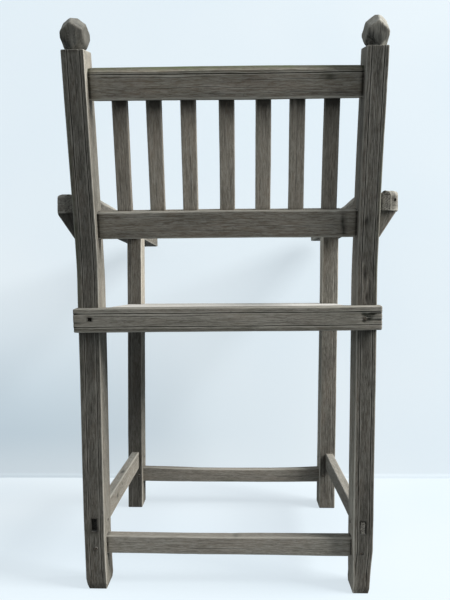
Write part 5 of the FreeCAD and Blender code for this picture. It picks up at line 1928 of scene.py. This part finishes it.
@dataclass(frozen=True)
class Studio:
    """The pale floor and backdrop, the soft lamps and the camera."""

    camera_place: Three = (-0.0276, 1.4525, 0.55391)
    camera_turn: Three = (88.7584, 0.2504, -178.4553)
    focal_share: float = 638.528 / 600
    sensor: float = 36.0
    floor_reach: float = 9.0
    wall_depth: float = 0.683
    wall_turn: float = 0.3
    wall_lean: float = 0.12
    cove: float = 0.012
    wall_height: float = 3.2
    floor_glow: float = 0.79
    wall_glow: float = 0.585

    def build(self) -> None:
        """Builds the whole studio."""
        self.floor()
        self.wall()
        self.lamps()
        self.camera()
        bpy.context.scene.view_settings.view_transform = "Standard"

    @staticmethod
    def paper(name: str, glow: float, upright: bool) -> Material:
        """Seamless paper: matt, pale blue, with a faint glow for the camera alone, with painted shade on the backdrop
        and a painted shadow on the floor.

        Args:
            name: The material's name.
            glow: Strength of the glow.
            upright: True for the backdrop, whose low part and foot carry painted shade and which is clear from
                behind; False for the floor, which carries a painted shadow under the chair.

        Returns:
            The material.
        """
        material = bpy.data.materials.new(name)
        graph = Graph.of(material)
        place = graph.add("TexCoord").outputs["Object"]
        cloud = graph.span(graph.speckle(place, 1.3, 2), 0.3, 0.7)
        color = graph.mix(cloud, (0.8, 0.9, 0.97), (0.84, 0.925, 0.98))
        if upright:
            x, _, z = graph.add("SeparateXYZ", {0: place}).outputs
            # Painted shade: the backdrop darkens low down, most towards +X and least at its very foot.
            shade = graph.times(graph.span(z, 0.1, 0.62, 0.8, 0), graph.span(z, 0, 0.14, 0.4, 1))
            shade = graph.times(shade, graph.span(x, -0.4, 0.7))
            color = graph.mix(shade, color, (0.6, 0.73, 0.82))
            # Painted shade: a thin dark line along the foot of the backdrop, where it meets the floor.
            color = graph.mix(graph.span(z, 0, 0.008, 0.35, 0), color, (0.36, 0.43, 0.48))
        else:
            # Painted shadow: a soft darker patch on the floor under the chair.
            centred = graph.vector("SUBTRACT", place, (0.03, -0.1, 0))
            away = graph.add("VectorMath", {0: centred}, operation="LENGTH").outputs["Value"]
            color = graph.mix(graph.span(away, 0.15, 0.45, 0.35, 0), color, (0.6, 0.68, 0.75))
        share = 0.42 if upright else 0.18
        matt = graph.add("BsdfDiffuse", {"Color": graph.mix(1, color, (share,) * 3, "MULTIPLY"),
                                         "Roughness": 0.6}).outputs[0]
        shine = graph.add("Emission", {"Color": color, "Strength": glow}).outputs[0]
        dark = graph.add("Emission", {"Color": (0, 0, 0), "Strength": 0}).outputs[0]
        seen = graph.add("LightPath").outputs["Is Camera Ray"]
        extra = graph.add("MixShader", {0: seen, 1: dark, 2: shine}).outputs[0]
        surface = graph.add("AddShader", {0: matt, 1: extra}).outputs[0]
        if upright:
            back = graph.add("NewGeometry").outputs["Backfacing"]
            clear = graph.add("BsdfTransparent").outputs[0]
            surface = graph.add("MixShader", {0: back, 1: surface, 2: clear}).outputs[0]
        graph.end("OutputMaterial", surface)
        return material

    def sheet(self, name: str, rows: list[list[Vector]], glow: float, upright: bool) -> None:
        """A staged sheet of paper through rows of points.

        Args:
            name: Its name.
            rows: The rows.
            glow: Strength of its paper's glow.
            upright: True for the backdrop.
        """
        mesh = bmesh.new()
        grid = [[mesh.verts.new(point) for point in row] for row in rows]
        for low, high in zip(grid, grid[1:]):
            mesh.faces.new((low[0], low[1], high[1], high[0]))
        data = bpy.data.meshes.new(name)
        mesh.to_mesh(data)
        mesh.free()
        data.materials.append(self.paper(f"{name}_paper", glow, upright))
        data.shade_smooth()
        put(name, data)

    def floor(self) -> None:
        """The floor under the chair."""
        ends = (-self.floor_reach, self.floor_reach)
        self.sheet("floor", [[Vector((x, y, -0.0006)) for x in ends] for y in ends], self.floor_glow, False)

    def wall(self) -> None:
        """The backdrop close in front of the chair, open from behind, with a small cove at its foot."""
        turn = math.radians(self.wall_turn)
        along = Vector((math.cos(turn), math.sin(turn), 0))
        away = Vector((math.sin(turn), -math.cos(turn), 0))
        start = Vector((0, VIEW.floor_line - self.wall_depth, 0))
        profile = [(0, 0)]
        for angle in (math.radians(90 * step / 8) for step in range(1, 9)):
            profile.append((self.cove * math.sin(angle), self.cove * (1 - math.cos(angle))))
        profile.append((self.cove + self.wall_lean * self.wall_height, self.wall_height))
        ends = (self.floor_reach, -self.floor_reach)
        rows = [[start + away * out + UP * (height - 0.0002) + along * x for x in ends] for out, height in profile]
        self.sheet("backdrop", rows, self.wall_glow, True)

    def lamps(self) -> None:
        """A large soft lamp from the sitter's right, a weak one from the left and an even sky."""
        for name, place, size, power, color in (
            ("key", (-5, 1.1, 4), 3.2, 900, (1, 0.985, 0.96)),
            ("fill", (3.4, -0.4, 1.5), 2.4, 40, (0.9, 0.95, 1)),
            ("front_fill", (-0.6, -3.2, 2.4), 2.4, 60, (1, 0.99, 0.97)),
        ):
            data = bpy.data.lights.new(name, "AREA")
            data.shape, data.size, data.energy, data.color = "SQUARE", size, power, color
            lamp = put(name, data)
            lamp.location = place
            lamp.rotation_euler = (Vector((0, 0, 0.45)) - Vector(place)).to_track_quat("-Z", "Y").to_euler()
        world = bpy.data.worlds.new("studio_air")
        graph = Graph.of(world)
        air = graph.add("Background", {"Color": (0.93, 0.97, 1), "Strength": 0.47}).outputs[0]
        shown = graph.add("Background", {"Color": (0.8, 0.875, 0.92), "Strength": 1}).outputs[0]
        seen = graph.add("LightPath").outputs["Is Camera Ray"]
        graph.end("OutputWorld", graph.add("MixShader", {0: seen, 1: air, 2: shown}).outputs[0])
        bpy.context.scene.world = world

    def camera(self) -> None:
        """The camera where the photograph was taken from."""
        data = bpy.data.cameras.new("camera")
        data.sensor_fit = "VERTICAL"
        data.sensor_width = data.sensor_height = self.sensor
        data.lens = self.focal_share * self.sensor
        camera = put("camera", data)
        camera.location = self.camera_place
        camera.rotation_euler = [math.radians(angle) for angle in self.camera_turn]
        bpy.context.scene.camera = camera


# ---- the chair


def rear_posts(finishes: Finishes) -> list[RearPost]:
    """Describes the posts: the left with the rounder top, the right with the pointed top, a knot and scars.

    Args:
        finishes: The looks.

    Returns:
        The posts.
    """
    left = RearPost(
        finishes, Side.LEFT,
        PostTop(foot=(-0.02, 0.04, 0.05, 0.08), waist=(0.34, 0.4, 0.36, 0.42), crown=(0.83, 0.8, 0.84, 0.86),
                cap=0.995, cap_tilt=(-0.05, 0.03), edge=0.18),
        # The inner faces' tone gives lighter wood together with painted light.
        seed=1.3, tone=0.79, inner_tone_and_light=2.1,
        touches=touches(
            # Lighter inner face higher up: lighter wood together with painted light.
            (0.2245, 0.363, 0.7, 0.004, 0.02, 0.3, 0, 0, 0.1),
            (0.26, 0.36, 0.75, 0.004, 0.05, 0.3, 0.25, 0, 0, 0.35),
            (0.2425, 0.3045, 0.03, 0.03, 0.05, 0.05, 0, 0, 0.25),
            (0.2425, 0.32, 0.25, 0.03, 0.06, 0.25, 0, 0, 0.09),
            # Painted shadow on the post just under the rear seat rail.
            (0.2425, 0.352, 0.475, 0.03, 0.03, 0.006, 0.7),
            (0.24, 0.43, 0.9305, 0.03, 0.03, 0.0022, 0.5),
            (0.247, 0.43, 0.953, 0.0009, 0.02, 0.014, 1, 0.0008),
            (0.238, 0.43, 0.948, 0.0009, 0.02, 0.011, 0.9, 0.0008)),
        # Painted shade on the lower outer facets of the carved top, and a painted highlight on its upper inner
        # facets.
        top_touches=touches(
            (0.253, 0.43, 0.938, 0.0085, 0.03, 0.009, 1.1, 0.001),
            (0.2335, 0.43, 0.955, 0.0022, 0.03, 0.008, 0, 0, 0.8)),
        facet_light_and_shade=(0.52, 0.4, 0.95), foot_in=-0.0035, foot_in_height=0.1, foot_out=0.0035, foot_out_height=0.018,
        foot_kick=-0.003, outward=0.0012, inward=0.0013, mortise=(0.2422, 0.1222), mortise_halves=(0.0118, 0.0049),
        mortise_depth=0.017)
    right = RearPost(
        finishes, Side.RIGHT,
        PostTop(foot=(0.02, -0.1, 0, 0.04), waist=(0.37, 0.3, 0.3, 0.34), crown=(0.735, 0.745, 0.78, 0.745),
                cap=0.962, cap_tilt=(0.05, -0.02), edge=0.12),
        # The inner faces' tone gives lighter wood together with painted light.
        seed=2.6, tone=0.84, inner_tone_and_light=1.3,
        touches=touches(
            (-0.2374, 0.3634, 0.6614, 0.0045, 0.03, 0.0085, 0.85, 0.001),
            (-0.239, 0.34, 0.572, 0.0026, 0.03, 0.012, 0.9, 0.001),
            (-0.236, 0.34, 0.59, 0.002, 0.03, 0.006, 0, 0, 0.5),
            (-0.2425, 0.34, 0.532, 0.0022, 0.03, 0.01, 0.9, 0.001),
            (-0.247, 0.34, 0.55, 0.002, 0.03, 0.018, 0.7, 0.0006),
            (-0.2445, 0.34, 0.56, 0.0016, 0.03, 0.009, 0, 0, 0.45),
            (-0.26, 0.36, 0.75, 0.004, 0.05, 0.3, 0.25, 0, 0, 0.35),
            (-0.2425, 0.3045, 0.01, 0.03, 0.05, 0.04, 0, 0, 0.1),
            (-0.2425, 0.41, 0.8, 0.03, 0.06, 0.16, 0, 0, 0.36),
            # Lighter inner face low down: lighter wood together with painted light.
            (-0.2235, 0.29, 0.15, 0.004, 0.06, 0.4, 0, 0, 2.3),
            # Painted shadow on the post just under the rear seat rail.
            (-0.2425, 0.352, 0.475, 0.03, 0.03, 0.006, 0.7)),
        # Painted deep shade in a dented hollow of the carved top.
        top_touches=touches((-0.2343, 0.43, 0.9368, 0.0102, 0.03, 0.0112, 4.5, 0.004)),
        facet_light_and_shade=(0.95, 0.8, 1.6), foot_in=-0.002, foot_in_height=0.018, foot_out=0.0065, foot_out_height=0.075,
        foot_kick=0.007, outward=0.001, inward=-0.0005, mortise=(-0.2425, 0.1198), mortise_halves=(0.0121, 0.0056),
        mortise_depth=0.006)
    return [left, right]


def front_legs(finishes: Finishes) -> list[FrontLeg]:
    """Describes the front legs, the right one leaning.

    Args:
        finishes: The looks.

    Returns:
        The legs.
    """
    # The third number of each leg, 2.8 and 2, lightens its inner faces: lighter wood together with painted light.
    return [FrontLeg(finishes, Side.LEFT, 41, 0.75, 2.8, -0.0018, inward=-0.001,
                     touches=touches((0.251, -0.132, 0.62, 0.004, 0.02, 0.045, 0.7))),
            FrontLeg(finishes, Side.RIGHT, 43, 1.22, 2, -0.0035, foot_shift=0.007, outward=0.0024)]


def arms(finishes: Finishes) -> list[Arm]:
    """Describes the arms, with the stains and checks of their rear ends and a painted shadow line on each end beside
    its post.

    Args:
        finishes: The looks.

    Returns:
        The arms.
    """
    left_end = touches(
        (0.277, 0.356, 0.697, 0.03, 0.012, 0.02, 0, 0, 0.15),
        # Painted shadow: a dark line on the arm's end where it meets the post.
        (0.26, 0.356, 0.697, 0.002, 0.012, 0.03, 0.8))
    right_end = touches(
        (-0.277, 0.356, 0.697, 0.03, 0.012, 0.02, 0, 0, 0.15),
        # Painted shadow: a dark line with a slight dent on the arm's end where it meets the post.
        (-0.2625, 0.356, 0.7, 0.0022, 0.02, 0.03, 1.3, 0.002),
        (-0.268, 0.354, 0.715, 0.004, 0.02, 0.003, 0.9, 0.0025),
        (-0.2745, 0.356, 0.7, 0.0009, 0.02, 0.012, 0.9),
        (-0.28, 0.356, 0.7085, 0.009, 0.02, 0.0009, 0.9))
    return [Arm(finishes, Side.LEFT, 51, 0.95, -0.009, -0.003, left_end, thickness=0.0325),
            Arm(finishes, Side.RIGHT, 53, 1.12, 0.005, 0.005, right_end, overhang=0.0358, inner_round=0.012)]


def main() -> None:
    """Builds the chair's sub-assemblies in order, reports each piece, and builds the studio."""
    logging.basicConfig(level=logging.INFO, format="%(name)s: %(message)s")
    finishes = Finishes()
    for assembly in (*rear_posts(finishes), BackPanel(finishes), SeatFrame(finishes), *front_legs(finishes),
                     *arms(finishes), Stretchers(finishes), Pegs(finishes)):
        for piece in assembly.build():
            LOG.info("%s: %d faces", piece.name, len(piece.data.polygons))
    Studio().build()


if __name__ == "__main__":
    main()
